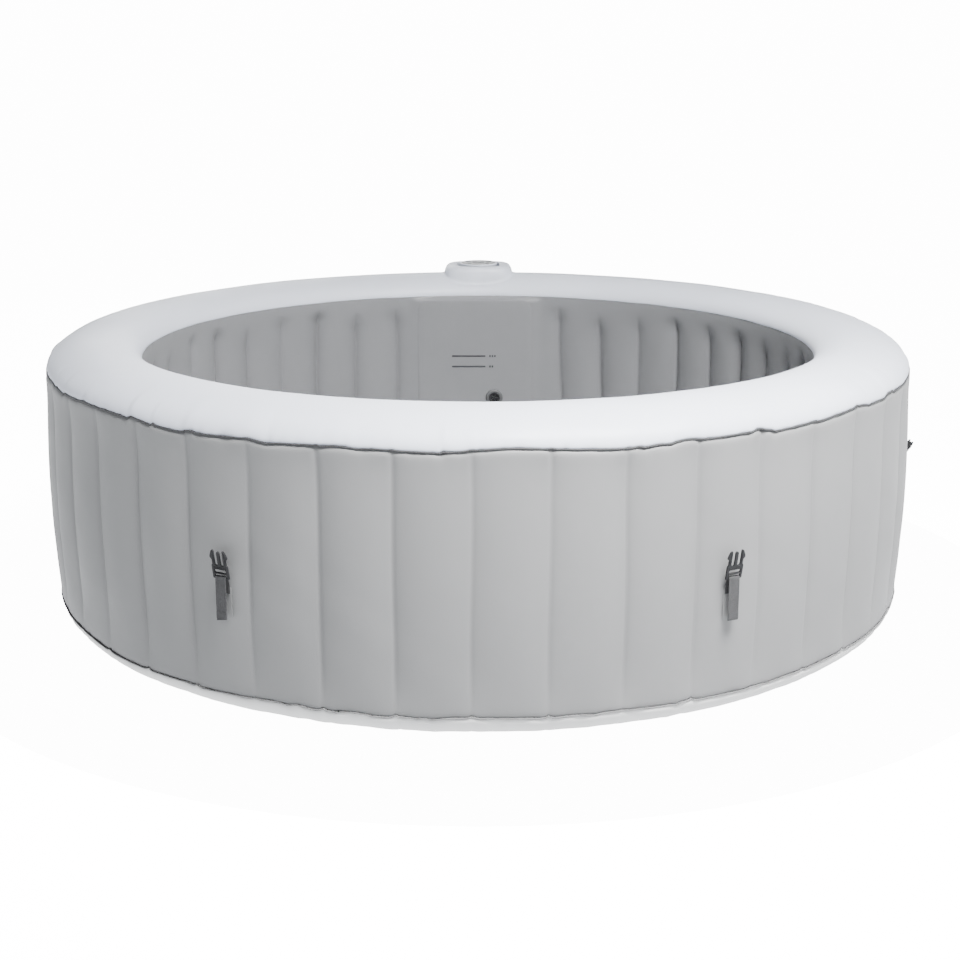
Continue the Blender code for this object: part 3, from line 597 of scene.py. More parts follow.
def outer_wall():
    """The ribbed outer skin between the seams, pinched in at each weld and puckered under the upper seam."""
    rows, creases = [], []
    depths = crease_depths(3, 0.75, 1.15)
    pinches = crease_depths(8, 0.2, 1.0)
    near_top = [1 - 0.085 * (step / 13) ** 1.3 for step in range(13)]
    middle = [0.915 - 0.815 * step / 24 for step in range(25)]
    near_base = [0.09, 0.075, 0.06, 0.046, 0.034, 0.024, 0.015, 0.007, 0.0]
    for share in reversed(near_top + middle[:-1] + [0.10] + near_base):
        even, across, rib = rib_columns(OUTER_COLUMNS_PER_RIB, 17, 0.0022, share)
        angle = even + rib_drift(even)
        low = lower_seam(angle) + SEAM_GAP
        high = upper_seam(angle) - SEAM_GAP
        height = low + (high - low) * share
        below, above = high - height, height - low
        radius = TUB_RADIUS + WALL_BULGE * sin(pi * share)
        pillow = 0.0054 * np.exp(-below / 0.030) * (1 - np.exp(-below / 0.006))
        tuck = 0.0034 * np.exp(-below / 0.0035) + 0.0026 * np.exp(-above / 0.005)
        envelope = (1 - np.exp(-below / 0.045)) * (1 - np.exp(-above / 0.055))
        valley = rib_valley(across, rib, depths) * OUTER_CREASE * envelope
        # Each point's crease depth is kept for the painted shade that the wall vinyl lays in the creases.
        creases.append(np.clip(valley / OUTER_CREASE, 0, 1))
        crease = np.abs(2 * across - 1)
        pinch = nearest_crease(pinches, across, rib)
        valley = valley + 0.0042 * pinch * np.exp(-((1 - crease) / 0.075) ** 2) * np.exp(-below / 0.028)
        small = puckers(angle, below, 41, 230, TUB_RADIUS, 0.0026, 0.022)
        small += puckers(angle, above, 43, 150, TUB_RADIUS, 0.0012, 0.018)
        slack = 0.0011 * ring_noise(angle + 0.8 * share, 61, (5, 13, 29, 37)) * sin(pi * share)
        rows.append(ring(radius + pillow - tuck - valley - small + np.minimum(slack, 0), angle, height))
    inner = TUB_RADIUS - 0.016
    rows.append(ring(inner, angle, UPPER_SEAM_Z - 0.012))
    rows.append(ring(inner, angle, LOWER_SEAM_Z + 0.010))
    return ring_body("outer_wall_skin", rows, "wall_vinyl", ("outer_wall",), creases=creases)


def seam_tape(name, seam, look, stands_for, seed, half):
    """The welded edge tape that stands out of a seam, wavy and uneven."""
    angle = even_angles(RIB_COUNT * OUTER_COLUMNS_PER_RIB)
    line = seam(angle)
    proud = TUB_RADIUS + 0.0018 + 0.0009 * ring_noise(angle, seed, (23, 51, 87, 131))
    droop = 0.0006 * ring_noise(angle, seed + 1, (19, 37, 71))
    root = TUB_RADIUS - 0.012
    rows = [ring(root, angle, line - half)]
    for inset, rise in ((0.0012, -1), (0.0003, -0.7), (0, 0), (0.0003, 0.7), (0.0012, 1)):
        rows.append(ring(proud - inset, angle, line + half * rise + droop))
    rows.append(ring(root, angle, line + half))
    return ring_body(name, rows, look, stands_for)


def rim_section(share, low):
    """Radius and height of the rim's skin, from the outer seam at 0 over the crown to the inner edge at 1."""
    bend = share * pi
    reach = TUB_RADIUS + RIM_LAP - CROWN_RADIUS if share <= 0.5 else CROWN_RADIUS - INNER_RADIUS
    return CROWN_RADIUS + reach * cos(bend), low + (TUB_HEIGHT - low) * sin(bend)


def rim_height(x, y):
    """Height of the rim's skin over a point of the ground plan."""
    radius = hypot(x, y)
    if radius >= CROWN_RADIUS:
        out, low = (radius - CROWN_RADIUS) / (TUB_RADIUS + RIM_LAP - CROWN_RADIUS), UPPER_SEAM_Z + 0.0018
    else:
        out, low = (CROWN_RADIUS - radius) / (CROWN_RADIUS - INNER_RADIUS), INNER_SEAM_Z
    return low + (TUB_HEIGHT - low) * sqrt(max(0.0, 1 - min(out, 1.0) ** 2))


def top_rim():
    """The white inflated rim: one soft arch with faint slow waves, puckered where it meets the outer seam."""
    angle = even_angles(PLAIN_COLUMNS)
    rows = []
    shares = [0.0, 0.006, 0.015, 0.03, 0.05, 0.075, 0.105, 0.14]
    shares += [0.14 + 0.80 * step / 24 for step in range(1, 25)] + [0.96, 0.975, 0.988, 1.0]
    for share in shares:
        low = upper_seam(angle) + SEAM_GAP if share <= 0.5 else inner_seam(angle) - 0.0010
        radius, height = rim_section(share, low)
        away = share * 0.19
        small = puckers(angle, away, 47, 210, TUB_RADIUS, 0.0020, 0.020) if share < 0.3 else 0.0
        tuck = 0.0028 * exp(-share / 0.010)
        wave = 0.0009 * ring_noise(angle + 2.0 * share, 71, (4, 9, 14, 22)) * sin(pi * share)
        outward = cos(share * pi)
        points = ring(radius - small - tuck + wave * outward, angle, height + wave)
        over_x, over_y = points[:, 0] / HEAD_HALF_X, (points[:, 1] - HEAD_Y) / HEAD_HALF_Y
        hidden = (over_x ** 4 + over_y ** 4) ** 0.25
        points[:, 2] -= 0.012 * (1 - smooth_step(hidden, 0.80, 0.96))
        rows.append(points)
    rows.append(ring(INNER_RADIUS + 0.020, angle, INNER_SEAM_Z + 0.004))
    rows.append(ring(TUB_RADIUS - 0.020, angle, UPPER_SEAM_Z + 0.012))
    return ring_body("top_rim_skin", rows, "rim_vinyl", ("top_rim",))


def flat_behind_panel(points, depth):
    """Points of the inner skin, drawn flat at a depth behind the service panel."""
    behind = (points[:, 1] > 0) & (np.abs(points[:, 0]) < 0.30)
    off_centre = np.abs(points[:, 0] - (PANEL_LOW.x + PANEL_HIGH.x) / 2)
    flat = np.where(behind, 1 - smooth_step(off_centre, 0.166, 0.215), 0.0)
    flat = flat * (1 - smooth_step(points[:, 2], PANEL_HIGH.z - 0.004, INNER_SEAM_Z + 0.0005))
    points[:, 1] = points[:, 1] * (1 - flat) + depth * flat
    return points


def inner_wall():
    """The inner skin, ribbed towards the water, plain under the rim, and flat behind the service panel."""
    rows, creases = [], []
    depths = crease_depths(13, 0.7, 1.2)
    fades = crease_depths(14, 0.030, 0.062)
    heights = [0.006, 0.012, 0.022, 0.035] + [0.05 + 0.455 * step / 22 for step in range(23)]
    heights += [0.518, 0.530, 0.542, 0.553, 0.563, 0.572, 0.580, 0.587, 0.593, 0.598, 0.602, 0.606, 0.609]
    for level in heights:
        share = level / INNER_SEAM_Z
        angle, across, rib = rib_columns(INNER_COLUMNS_PER_RIB, 19, 0.0062, share)
        top = inner_seam(angle)
        height = level * top / INNER_SEAM_Z
        below = np.maximum(top - height, 0.0)
        fade = nearest_crease(fades, across, rib)
        envelope = smooth_step(below, fade * 0.55, fade * 1.9) * (1 - exp(-level / 0.05))
        valley = rib_valley(across, rib, depths) * INNER_CREASE * envelope
        # Each point's crease depth is kept for the painted shade that the inner vinyl lays in the creases.
        creases.append(np.clip(valley / INNER_CREASE, 0, 1))
        puff = 0.0030 * np.exp(-below / 0.05) * (1 - np.exp(-below / 0.010))
        small = puckers(angle, below, 53, 70, INNER_RADIUS, 0.0012, 0.020, 0.008)
        radius = INNER_RADIUS + 0.0004 - puff * 0.4 + valley + small
        rows.append(flat_behind_panel(ring(radius, angle, height), PANEL_Y + 0.0022))
    outer = INNER_RADIUS + 0.0235
    rows.append(flat_behind_panel(ring(outer, angle, INNER_SEAM_Z - 0.008), PANEL_HIGH.y + 0.012))
    rows.append(flat_behind_panel(ring(outer, angle, 0.008), PANEL_HIGH.y + 0.012))
    return ring_body("inner_wall_skin", rows, "inner_vinyl", ("inner_wall",), creases=creases)


def base_panel():
    """The pale base: flat on the ground, turning up to the lower seam with soft folds below each rib."""
    angle = even_angles(PLAIN_COLUMNS)
    rows = [ring(radius, angle, 0.0) for radius in (0.20, 0.55, 0.80, GROUND_RADIUS)]
    for step in range(1, 25):
        share = step / 24
        bend = share * pi / 2
        top = lower_seam(angle) - SEAM_GAP
        radius = GROUND_RADIUS + (TUB_RADIUS + SEAM_GAP - GROUND_RADIUS) * sin(bend)
        height = top * (1 - cos(bend))
        away = (1 - share) * 0.17
        small = puckers(angle, away, 83, 190, TUB_RADIUS, 0.0042, 0.045, 0.011)
        tuck = 0.0024 * exp(-(1 - share) / 0.020)
        wave = 0.0016 * ring_noise(angle, 87, (21, 42, 63, 84)) * sin(pi * share)
        radius = radius - small - tuck + wave
        rows.append(ring(radius, angle, np.maximum(height + small * 0.4, 0.0)))
    rows.append(ring(TUB_RADIUS - 0.020, angle, LOWER_SEAM_Z - 0.010))
    rows.append(ring(GROUND_RADIUS, angle, 0.0032))
    rows.append(ring(0.20, angle, 0.0032))
    return ring_body("base_skin", rows, "base_vinyl", ("base_panel",), poles=True)


def wall_webs():
    """The tension webs between the two skins: one folded cloth that stops at the equipment bay."""
    last_seam = RIB_COUNT // 2 - 2
    near, far = INNER_RADIUS + 0.026, TUB_RADIUS - 0.019
    path = []
    for seam in range(-last_seam, last_seam + 1):
        even = seam * RIB_PITCH
        path.append((far, float(even + rib_drift(even))) if seam % 2 else (near, even))
    heights = [0.15 + 0.40 * step / 10 for step in range(11)]
    bm = bmesh.new()
    sides = []
    for offset in (-0.0007, 0.0007):
        rows = []
        for height in heights:
            row = []
            for (radius, angle), (next_radius, next_angle) in zip(path, path[1:]):
                for step in range(6):
                    share = step / 6
                    slack = 0.0014 * sin(pi * share) * cos(9 * height + 5 * angle)
                    reach = radius * (1 - share) + next_radius * share + offset + slack
                    turn = angle * (1 - share) + next_angle * share
                    row.append(bm.verts.new((reach * sin(turn), -reach * cos(turn), height)))
            radius, angle = path[-1]
            reach = radius + offset
            row.append(bm.verts.new((reach * sin(angle), -reach * cos(angle), height)))
            rows.append(row)
        sides.append(rows)
    for rows in sides:
        for lower, upper in zip(rows, rows[1:]):
            join(bm, lower, upper, False)
    for level in (0, -1):
        join(bm, sides[0][level], sides[1][level], False)
    for end in (0, -1):
        join(bm, [row[end] for row in sides[0]], [row[end] for row in sides[1]], False)
    mesh_piece("wall_web_cloth", bm, "web_fabric", "tub", ("wall_webs",), sharp=60)


def floor_liner():
    """The floor inside: a liner over a thin pad, softly rippled, with a welded line near its edge."""
    angle = even_angles(252)
    box_low, box_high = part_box("floor_panel")
    edge = min(box_high.x, -box_low.x) - 0.0005
    rows = [ring(0.06, angle, box_low.z), ring(edge, angle, box_low.z)]
    rng = np.random.default_rng(91)
    swells = [(rng.uniform(3, 9), rng.uniform(0, FULL_TURN), rng.uniform(0, FULL_TURN)) for swell in range(9)]
    for radius in [edge, edge - 0.004] + [(edge - 0.004) * (1 - step / 34) for step in range(1, 34)]:
        x, y = radius * np.sin(angle), -radius * np.cos(angle)
        ripple = np.zeros_like(angle)
        for pitch, heading, phase in swells:
            ripple = ripple + np.sin(pitch * (x * cos(heading) + y * sin(heading)) * 2.2 + phase)
        rim = exp(-((edge - 0.030 - radius) / 0.006) ** 2)
        rows.append(ring(radius, angle, box_high.z - 0.0011 + 0.00032 * ripple / 3 - 0.0014 * rim))
    return ring_body("floor_liner", rows, "inner_vinyl", ("floor_panel",), poles=True)


def bubble_ring():
    """The welded air channel round the foot of the inner wall, with its row of air holes."""
    angle = even_angles(RIB_COUNT * 12)
    box_low, box_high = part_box("bubble_ring")
    inside, outside = 0.7768, box_high.x - 0.0004
    middle, half = (inside + outside) / 2, (outside - inside) / 2
    low, tall = box_low.z, box_high.z - box_low.z
    wave = ring_noise(angle, 97, (17, 42, 63, 101))
    rows = []
    for step in range(20):
        bend = FULL_TURN * step / 20
        side = copysign(abs(cos(bend)) ** 0.62, cos(bend))
        rise = copysign(abs(sin(bend)) ** 0.62, sin(bend))
        reach = half * side * (1 - 0.05 * (wave + 1) * (side < 0))
        climb = rise * (1 - 0.03 * (wave + 1) * (rise > 0))
        rows.append(ring(middle + reach, angle, low + tall * (0.5 + 0.5 * climb)))
    ring_body("bubble_ring_skin", rows, "inner_vinyl", ("bubble_ring",))
    holes = bmesh.new()
    eyelet = [(0.0, 0.0002), (0.0011, 0.0002), (0.0015, 0.0011), (0.0024, 0.0012), (0.0030, 0.0004),
              (0.0030, -0.0016), (0.0, -0.0016)]
    up = Matrix.Translation((0, half * 0.62 - middle, low + tall * 0.915))
    up = up @ Matrix.Rotation(radians(-32), 4, "X")
    hole_count = RIB_COUNT * 3
    for hole in range(hole_count):
        turn = (hole + 0.5) * FULL_TURN / hole_count
        add_turned(holes, eyelet, 12, Matrix.Rotation(turn, 4, "Z") @ up)
    mesh_piece("air_hole_eyelets", holes, "grey_plastic", "tub", sharp=50)


# Turned and cut-out pieces

def join(bm, first, second, closed=True):
    """Faces between two rows of points, which are rings if closed. A row of one point makes a tip."""
    size = max(len(first), len(second))
    faces = []
    for step in range(size if closed else size - 1):
        after = (step + 1) % size
        corners = [first[step % len(first)], first[after % len(first)]]
        corners += [second[after % len(second)], second[step % len(second)]]
        faces.append(bm.faces.new(list(dict.fromkeys(corners))))
    return faces


def add_turned(bm, outline, steps, place, knurl=0.0, knurls=0):
    """Adds a body turned about local Z from (radius, height) points. Points on the axis make tips."""
    rings = []
    for radius, height in outline:
        points = []
        for step in range(steps if radius else 1):
            turn = FULL_TURN * step / steps
            reach = radius * (1 + knurl * cos(knurls * turn))
            points.append(bm.verts.new(place @ Vector((reach * cos(turn), reach * sin(turn), height))))
        rings.append(points)
    pairs = list(zip(rings, rings[1:]))
    if outline[0][0]:
        pairs.append((rings[-1], rings[0]))
    for first, second in pairs:
        join(bm, first, second)


def mesh_piece(name, bm, look, body, stands_for=(), sharp=35, place=None):
    """Turns a finished bmesh into a piece, moved to its place, with its faces pointing out."""
    if place:
        bmesh.ops.transform(bm, matrix=place, verts=bm.verts)
    bmesh.ops.recalc_face_normals(bm, faces=bm.faces)
    mesh = bpy.data.meshes.new(name)
    bm.to_mesh(mesh)
    bm.free()
    return add_piece(name, mesh, look, body, stands_for, sharp)


def turned_piece(name, outline, look, place, body="tub", stands_for=(), steps=64, knurl=0.0, knurls=0,
                 extra=None):
    bm = bmesh.new()
    add_turned(bm, outline, steps, place, knurl, knurls)
    if extra:
        extra(bm)
    return mesh_piece(name, bm, look, body, stands_for)


def outline_plate(outlines, thick, bevel, place, resolution=2):
    """A flat plate with rounded edges as a bmesh. The first outline is its edge and the others are holes."""
    data = bpy.data.curves.new("plate", "CURVE")
    data.dimensions = "2D"
    data.fill_mode = "BOTH"
    data.extrude = thick / 2 - bevel
    data.bevel_depth = bevel
    data.bevel_resolution = resolution
    data.offset = -bevel
    for outline in outlines:
        spline = data.splines.new("POLY")
        spline.points.add(len(outline) - 1)
        for point, (x, y) in zip(spline.points, outline):
            point.co = (x, y, 0, 1)
        spline.use_cyclic_u = True
    shape = bpy.data.objects.new("plate", data)
    mesh = bpy.data.meshes.new_from_object(shape)
    bm = bmesh.new()
    bm.from_mesh(mesh)
    bmesh.ops.remove_doubles(bm, verts=bm.verts, dist=1e-7)
    bmesh.ops.transform(bm, matrix=place, verts=bm.verts)
    bpy.data.objects.remove(shape)
    bpy.data.curves.remove(data)
    bpy.data.meshes.remove(mesh)
    return bm


def merge(target, other):
    """Adds one bmesh's shape to another as a separate body of the same piece."""
    mesh = bpy.data.meshes.new("part")
    other.to_mesh(mesh)
    other.free()
    target.from_mesh(mesh)
    bpy.data.meshes.remove(mesh)


def rounded_box(low, high, radius, steps=4):
    """Points of a rectangle with rounded corners, anticlockwise."""
    points = []
    corners = ((high[0], high[1], 0), (low[0], high[1], 90), (low[0], low[1], 180), (high[0], low[1], 270))
    for x, y, start in corners:
        cx = x - radius if x == high[0] else x + radius
        cy = y - radius if y == high[1] else y + radius
        for step in range(steps + 1):
            bend = radians(start + 90 * step / steps)
            points.append((cx + radius * cos(bend), cy + radius * sin(bend)))
    return points


def circle(radius, steps):
    """Points of a circle, anticlockwise."""
    turns = [FULL_TURN * step / steps for step in range(steps)]
    return [(radius * cos(turn), radius * sin(turn)) for turn in turns]


def add_slab(bm, low, high, corner, thick, bevel, place, resolution=1, steps=2):
    """Adds a flat plate with rounded corners and edges to a bmesh."""
    merge(bm, outline_plate([rounded_box(low, high, corner, steps)], thick, bevel, place, resolution))


def outward(degrees, height, radius=TUB_RADIUS):
    """A frame on the wall: local X along the wall, local -Y outwards, local Z up."""
    turn = radians(degrees)
    centre = Vector((radius * sin(turn), -radius * cos(turn), height))
    return Matrix.Translation(centre) @ Matrix.Rotation(turn, 4, "Z")


STAND_UP = Matrix.Rotation(radians(90), 4, "X")


# Service panel and its fittings

def service_panel():
    """The flat panel inside the tub: a padded sheet with a welded border and two water-level marks."""
    centre_x = (PANEL_LOW.x + PANEL_HIGH.x) / 2
    centre_z = (PANEL_LOW.z + PANEL_HIGH.z) / 2
    half_x = (PANEL_HIGH.x - PANEL_LOW.x) / 2
    half_z = (PANEL_HIGH.z - PANEL_LOW.z) / 2
    columns, rows_count = 72, 96
    corner = 0.030
    front = []
    for row in range(rows_count + 1):
        v = 2 * row / rows_count - 1
        for column in range(columns + 1):
            u = 2 * column / columns - 1
            x, z = u * half_x, v * half_z
            over_x, over_z = max(0.0, abs(x) - half_x + corner), max(0.0, abs(z) - half_z + corner)
            if over_x > 0 and over_z > 0:
                reach = max(over_x, over_z)
                pull = reach / hypot(over_x, over_z)
                x = copysign(half_x - corner + over_x * pull, x)
                z = copysign(half_z - corner + over_z * pull, z)
            edge = min(half_x - abs(u * half_x), half_z - abs(v * half_z))
            weld = exp(-((edge - 0.009) / 0.0020) ** 2)
            fall = exp(-edge / 0.0030)
            depth = PANEL_Y + 0.0006 + 0.0004 * weld + 0.0014 * fall
            front.append((centre_x + x, depth, centre_z + z))
    count = len(front)
    width = columns + 1
    border = list(range(width))
    border += [row * width + columns for row in range(1, rows_count + 1)]
    border += [rows_count * width + column for column in range(columns - 1, -1, -1)]
    border += [row * width for row in range(rows_count - 1, 0, -1)]
    faces = []
    for row in range(rows_count):
        for column in range(columns):
            first = row * width + column
            faces.append((first, first + 1, first + width + 1, first + width))
    back = [(front[index][0], PANEL_HIGH.y, front[index][2]) for index in border]
    for step in range(len(border)):
        after = (step + 1) % len(border)
        faces.append((border[after], border[step], count + step, count + after))
    faces.append(tuple(count + step for step in range(len(border))))
    mesh = bpy.data.meshes.new("service_panel_sheet")
    mesh.from_pydata(front + back, [], faces)
    bm = bmesh.new()
    bm.from_mesh(mesh)
    bpy.data.meshes.remove(mesh)
    mesh_piece("service_panel_sheet", bm, "inner_vinyl", "tub", ("service_panel",), sharp=60)

    marks = bmesh.new()
    face = Matrix.Translation((0, PANEL_Y + 0.0002, 0)) @ STAND_UP
    for height, ticks in ((0.4320, 3), (0.4010, 2)):
        add_slab(marks, (-0.077, height - 0.0023), (0.021, height + 0.0023), 0.0010, 0.0006, 0.0002, face)
        for tick in range(ticks):
            left = 0.032 + 0.0072 * tick
            low, high = (left, height - 0.0030), (left + 0.0046, height + 0.0030)
            add_slab(marks, low, high, 0.0008, 0.0006, 0.0002, face)
    mesh_piece("water_level_marks", marks, "print", "tub")


def panel_fittings():
    """The return outlet with its grille, on the service panel."""
    low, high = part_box("return_fitting")
    centre = Matrix.Translation(((low.x + high.x) / 2, PANEL_Y, (low.z + high.z) / 2)) @ STAND_UP
    reach = (high.x - low.x) / 2
    ring_outline = [(0.0160, 0.0004), (reach, 0.0004), (reach, 0.0022), (reach - 0.0010, 0.0040),
                    (reach - 0.0026, 0.0062), (reach - 0.0040, 0.0068), (0.0174, 0.0068), (0.0160, 0.0056)]
    turned_piece("return_outlet_ring", ring_outline, "outlet_grey", centre, stands_for=("return_fitting",),
                 knurl=0.006, knurls=16, steps=96)
    grille = bmesh.new()
    add_turned(grille, [(0.0125, 0.0), (0.0157, 0.0), (0.0157, 0.0072), (0.0149, 0.0080), (0.0131, 0.0080),
                        (0.0125, 0.0072)], 64, centre)
    add_turned(grille, [(0.0, 0.0), (0.0127, 0.0), (0.0127, 0.0034), (0.0, 0.0034)], 48, centre)
    add_turned(grille, [(0.0, 0.0032), (0.0038, 0.0032), (0.0038, 0.0074), (0.0030, 0.0082), (0.0, 0.0082)],
               32, centre)
    for turn in range(5):
        arm = centre @ Matrix.Rotation(turn * FULL_TURN / 5, 4, "Z") @ Matrix.Translation((0.0081, 0, 0.0053))
        add_slab(grille, (-0.0052, -0.0010), (0.0052, 0.0010), 0.0007, 0.0042, 0.0005, arm)
    mesh_piece("return_outlet_grille", grille, "black_plastic", "tub", ("return_grille",))


# Control head

def control_head():
    """The head's moulded shell: a rounded block that flares softly into the rim all round."""
    outline = []
    for x, y in circle(1, 160):
        reach = 1 / (abs(x) ** 4 + abs(y) ** 4) ** 0.25
        outline.append((x * reach, y * reach))
    levels = [(1.075, 0.0, 0.0), (1.03, 0.0010, 0.0), (1.005, 0.0045, 0.02), (0.992, 0.0105, 0.12),
              (0.982, 0.0170, 0.30), (0.970, 0.0, 0.52), (0.950, 0.0, 0.70), (0.918, 0.0, 0.84),
              (0.872, 0.0, 0.935), (0.815, 0.0, 0.985), (0.755, 0.0, 1.0), (0.665, 0.0, 1.0),
              (0.640, 0.0, 0.985), (0.625, 0.0, 0.96)]
    bm = bmesh.new()
    rings = []
    for scale, lift, climb in levels:
        ring_points = []
        for x, y in outline:
            px, py = x * HEAD_HALF_X * scale, HEAD_Y + y * HEAD_HALF_Y * scale
            spread = scale if climb < 0.5 else 1.0
            foot = rim_height(x * HEAD_HALF_X * spread, HEAD_Y + y * HEAD_HALF_Y * spread)
            foot = foot + 0.0006 + lift * 0.35
            pz = foot + (HEAD_TOP_Z - 0.0004 - foot) * climb
            ring_points.append(bm.verts.new((px, py, pz)))
        rings.append(ring_points)
    below = []
    for x, y in outline:
        px, py = x * HEAD_HALF_X * 0.90, HEAD_Y + y * HEAD_HALF_Y * 0.90
        below.append(bm.verts.new((px, py, rim_height(px, py) - 0.006)))
    rings.append([bm.verts.new((v.co.x, v.co.y, HEAD_TOP_Z - 0.008)) for v in rings[-1]])
    rings.append(below)
    for first, second in zip(rings, rings[1:] + rings[:1]):
        join(bm, first, second)
    mesh_piece("control_head_shell", bm, "white_plastic", "tub", ("control_head",), sharp=60)


def control_panel():
    """The round panel's raised ring, print and button marks. The marks are plain generic symbols."""
    on_head = Matrix.Translation((0, HEAD_Y, HEAD_TOP_Z))
    bezel = bmesh.new()
    section = [(0.0513, 0.0001), (0.0560, 0.0001), (0.0560, 0.0022), (0.0552, 0.0034),
               (0.0536, 0.0040), (0.0520, 0.0038), (0.0513, 0.0030)]
    add_turned(bezel, section, 96, on_head)
    mesh_piece("control_panel_bezel", bezel, "white_plastic", "tub")
    marks = bmesh.new()
    flat = Matrix.Translation((0, HEAD_Y, DISC_TOP_Z + 0.0001))
    merge(marks, outline_plate([circle(0.0472, 72), circle(0.0464, 72)], 0.00024, 0.00005, flat, 1))
    for angle in (150, 110, 70, 30, -40, -140):
        turn = radians(angle)
        for side in (-0.06, 0.06):
            x, y = 0.0425 * cos(turn + side), 0.0425 * sin(turn + side)
            place = flat @ Matrix.Translation((x, y, 0)) @ Matrix.Rotation(turn, 4, "Z")
            add_slab(marks, (-0.0004, -0.0014), (0.0004, 0.0014), 0.0003, 0.00024, 0.00005, place, steps=1)
    mesh_piece("control_panel_print", marks, "print", "tub")


# Straps

def strip_body(bm, path, width, thick, uv_start=0.0, corner=0.0004, slant=0.0):
    """A webbing strip along (y, z) points in local axes, with rounded selvedges and a weave map."""
    weave = bm.loops.layers.uv.get("weave") or bm.loops.layers.uv.new("weave")
    half = width / 2
    inner = np.linspace(-half + corner, half - corner, 9)
    section = [(-half, 0.25)] + [(x, 0.5) for x in inner] + [(half, 0.25), (half, -0.25)]
    section += [(x, -0.5) for x in inner[::-1]] + [(-half, -0.25)]
    rings, lengths = [], []
    travelled = uv_start
    for index, (y, z) in enumerate(path):
        before = path[max(index - 1, 0)]
        after = path[min(index + 1, len(path) - 1)]
        along = Vector((0, after[0] - before[0], after[1] - before[1])).normalized()
        side = Vector((1, 0, 0)).cross(along)
        if index:
            travelled += hypot(y - path[index - 1][0], z - path[index - 1][1])
        lengths.append(travelled)
        last = index == len(path) - 1
        points = []
        for x, share in section:
            point = Vector((x, y, z)) + side * (share * thick)
            if last:
                point += along * (slant * (x / width))
            points.append(bm.verts.new(point))
        rings.append(points)
    size = len(section)
    for index in range(len(rings) - 1):
        for step, face in enumerate(join(bm, rings[index], rings[index + 1])):
            after = (step + 1) % size
            where = ((step, index), (after, index), (after, index + 1), (step, index + 1))
            for loop, (column, row) in zip(face.loops, where):
                loop[weave].uv = (section[column][0] + half, lengths[row])
    for points in (rings[0], rings[-1]):
        face = bm.faces.new(points)
        for loop in face.loops:
            loop[weave].uv = (0.0, 0.0)


def buckle_mesh():
    """A side-release half: a ladder frame for the webbing below, two barbed arms and a middle guide above."""
    half = [(0, -2), (17, -2), (18.4, -1.2), (19, 0.4), (19, 25), (18.4, 27), (16.7, 28.6), (16.5, 38.5),
            (18.2, 40.6), (20.3, 43), (20.4, 45), (19.8, 47.5), (17.6, 53), (15.7, 57.2), (14.0, 58.9),
            (12, 59.4), (10.8, 58.2), (10.5, 56), (10.5, 31), (9.9, 28.4), (8, 26.7), (5, 26.6), (3.8, 28),
            (3.5, 30), (3.5, 52.5), (2.7, 55), (1.4, 56.2)]
    mirrored = [(-x, z) for x, z in reversed(half) if x > 0]
    edge = [(x * MM, z * MM) for x, z in half + [(0, 56.5)] + mirrored]
    slots = []
    for low, high in ((2.1, 7.9), (11.1, 17.9)):
        slots.append(rounded_box((-0.0136, low * MM), (0.0136, high * MM), 0.0012, 3)[::-1])
    bm = outline_plate([edge] + slots, 0.0040, 0.0007, STAND_UP, 2)
    front = STAND_UP @ Matrix.Translation((0, 0, 0.0021))
    for low, high in ((-1.4, 1.4), (8.2, 10.8), (18.6, 20.2), (21.4, 23.0)):
        add_slab(bm, (-0.0150, low * MM), (0.0150, high * MM), 0.0007, 0.0014, 0.0005, front, 2)
    for sign in (-1, 1):
        left, right = sorted((sign * 0.0122, sign * 0.0148))
        add_slab(bm, (left, 0.031), (right, 0.055), 0.0009, 0.0014, 0.0004, front, 2)
    return bm


def straps():
    """Each strap's anchor patch and webbing on the wall, its buckle half, and its hanging tail."""
    for index, (angle, lean) in enumerate(STRAPS, 1):
        place = outward(angle, BAR_Z, BAR_RADIUS)
        patch_place = place @ Matrix.Translation((0, 0.0104, 0)) @ STAND_UP
        patch_edge = rounded_box((-0.0145, -0.085), (0.0145, -0.020), 0.005, 6)
        patch = outline_plate([patch_edge], 0.0009, 0.0004, patch_place, 3)
        mesh_piece(f"strap_patch_{index}", patch, "wall_vinyl", "tub", (f"strap_anchor_{index}",))
        sewn = bmesh.new()
        path = [(0.0086, -0.034), (0.0086, -0.030), (0.0085, -0.022), (0.0080, -0.015),
                (0.0068, -0.008), (0.0058, -0.003)]
        strip_body(sewn, path, WEBBING_WIDTH - 0.0006, WEBBING_THICK)
        mesh_piece(f"strap_webbing_{index}", sewn, "webbing", "tub", place=place)

        leaning = place @ Matrix.Rotation(radians(lean), 4, "X")
        name = f"buckle_{index}"
        mesh_piece(f"buckle_half_{index}", buckle_mesh(), "buckle_plastic", name, (name,), place=leaning)

        tail = bmesh.new()
        centre = 0.0031 + WEBBING_THICK / 2
        path = [(centre, -0.002), (centre, -0.001)]
        for bend in range(0, 181, 15):
            turn = radians(bend)
            path.append((centre * cos(turn), centre * sin(turn)))
        for step in range(1, 13):
            drop = step / 12
            sway = -0.0004 * sin(pi * drop) - 0.0003 * drop
            path.append((-centre + sway, -0.003 - (TAIL_LENGTH - 0.006) * drop))
        slant = -0.0045 if angle < 0 else 0.0012
        strip_body(tail, path, WEBBING_WIDTH, WEBBING_THICK, slant=slant)
        hem = [(-centre - 0.0012, -TAIL_LENGTH + 0.0055), (-centre - 0.00135, -TAIL_LENGTH + 0.012),
               (-centre - 0.00125, -TAIL_LENGTH + 0.019)]
        strip_body(tail, hem[::-1], WEBBING_WIDTH - 0.0002, 0.0009, 0.1)
        name = f"strap_tail_{index}"
        mesh_piece(f"strap_tail_webbing_{index}", tail, "webbing", name, (name,), place=place)


# Back of the tub

def bulge_at(height):
    """How far the outer wall stands out past its seams at a height."""
    return WALL_BULGE * sin(pi * (height - LOWER_SEAM_Z) / (UPPER_SEAM_Z - LOWER_SEAM_Z))


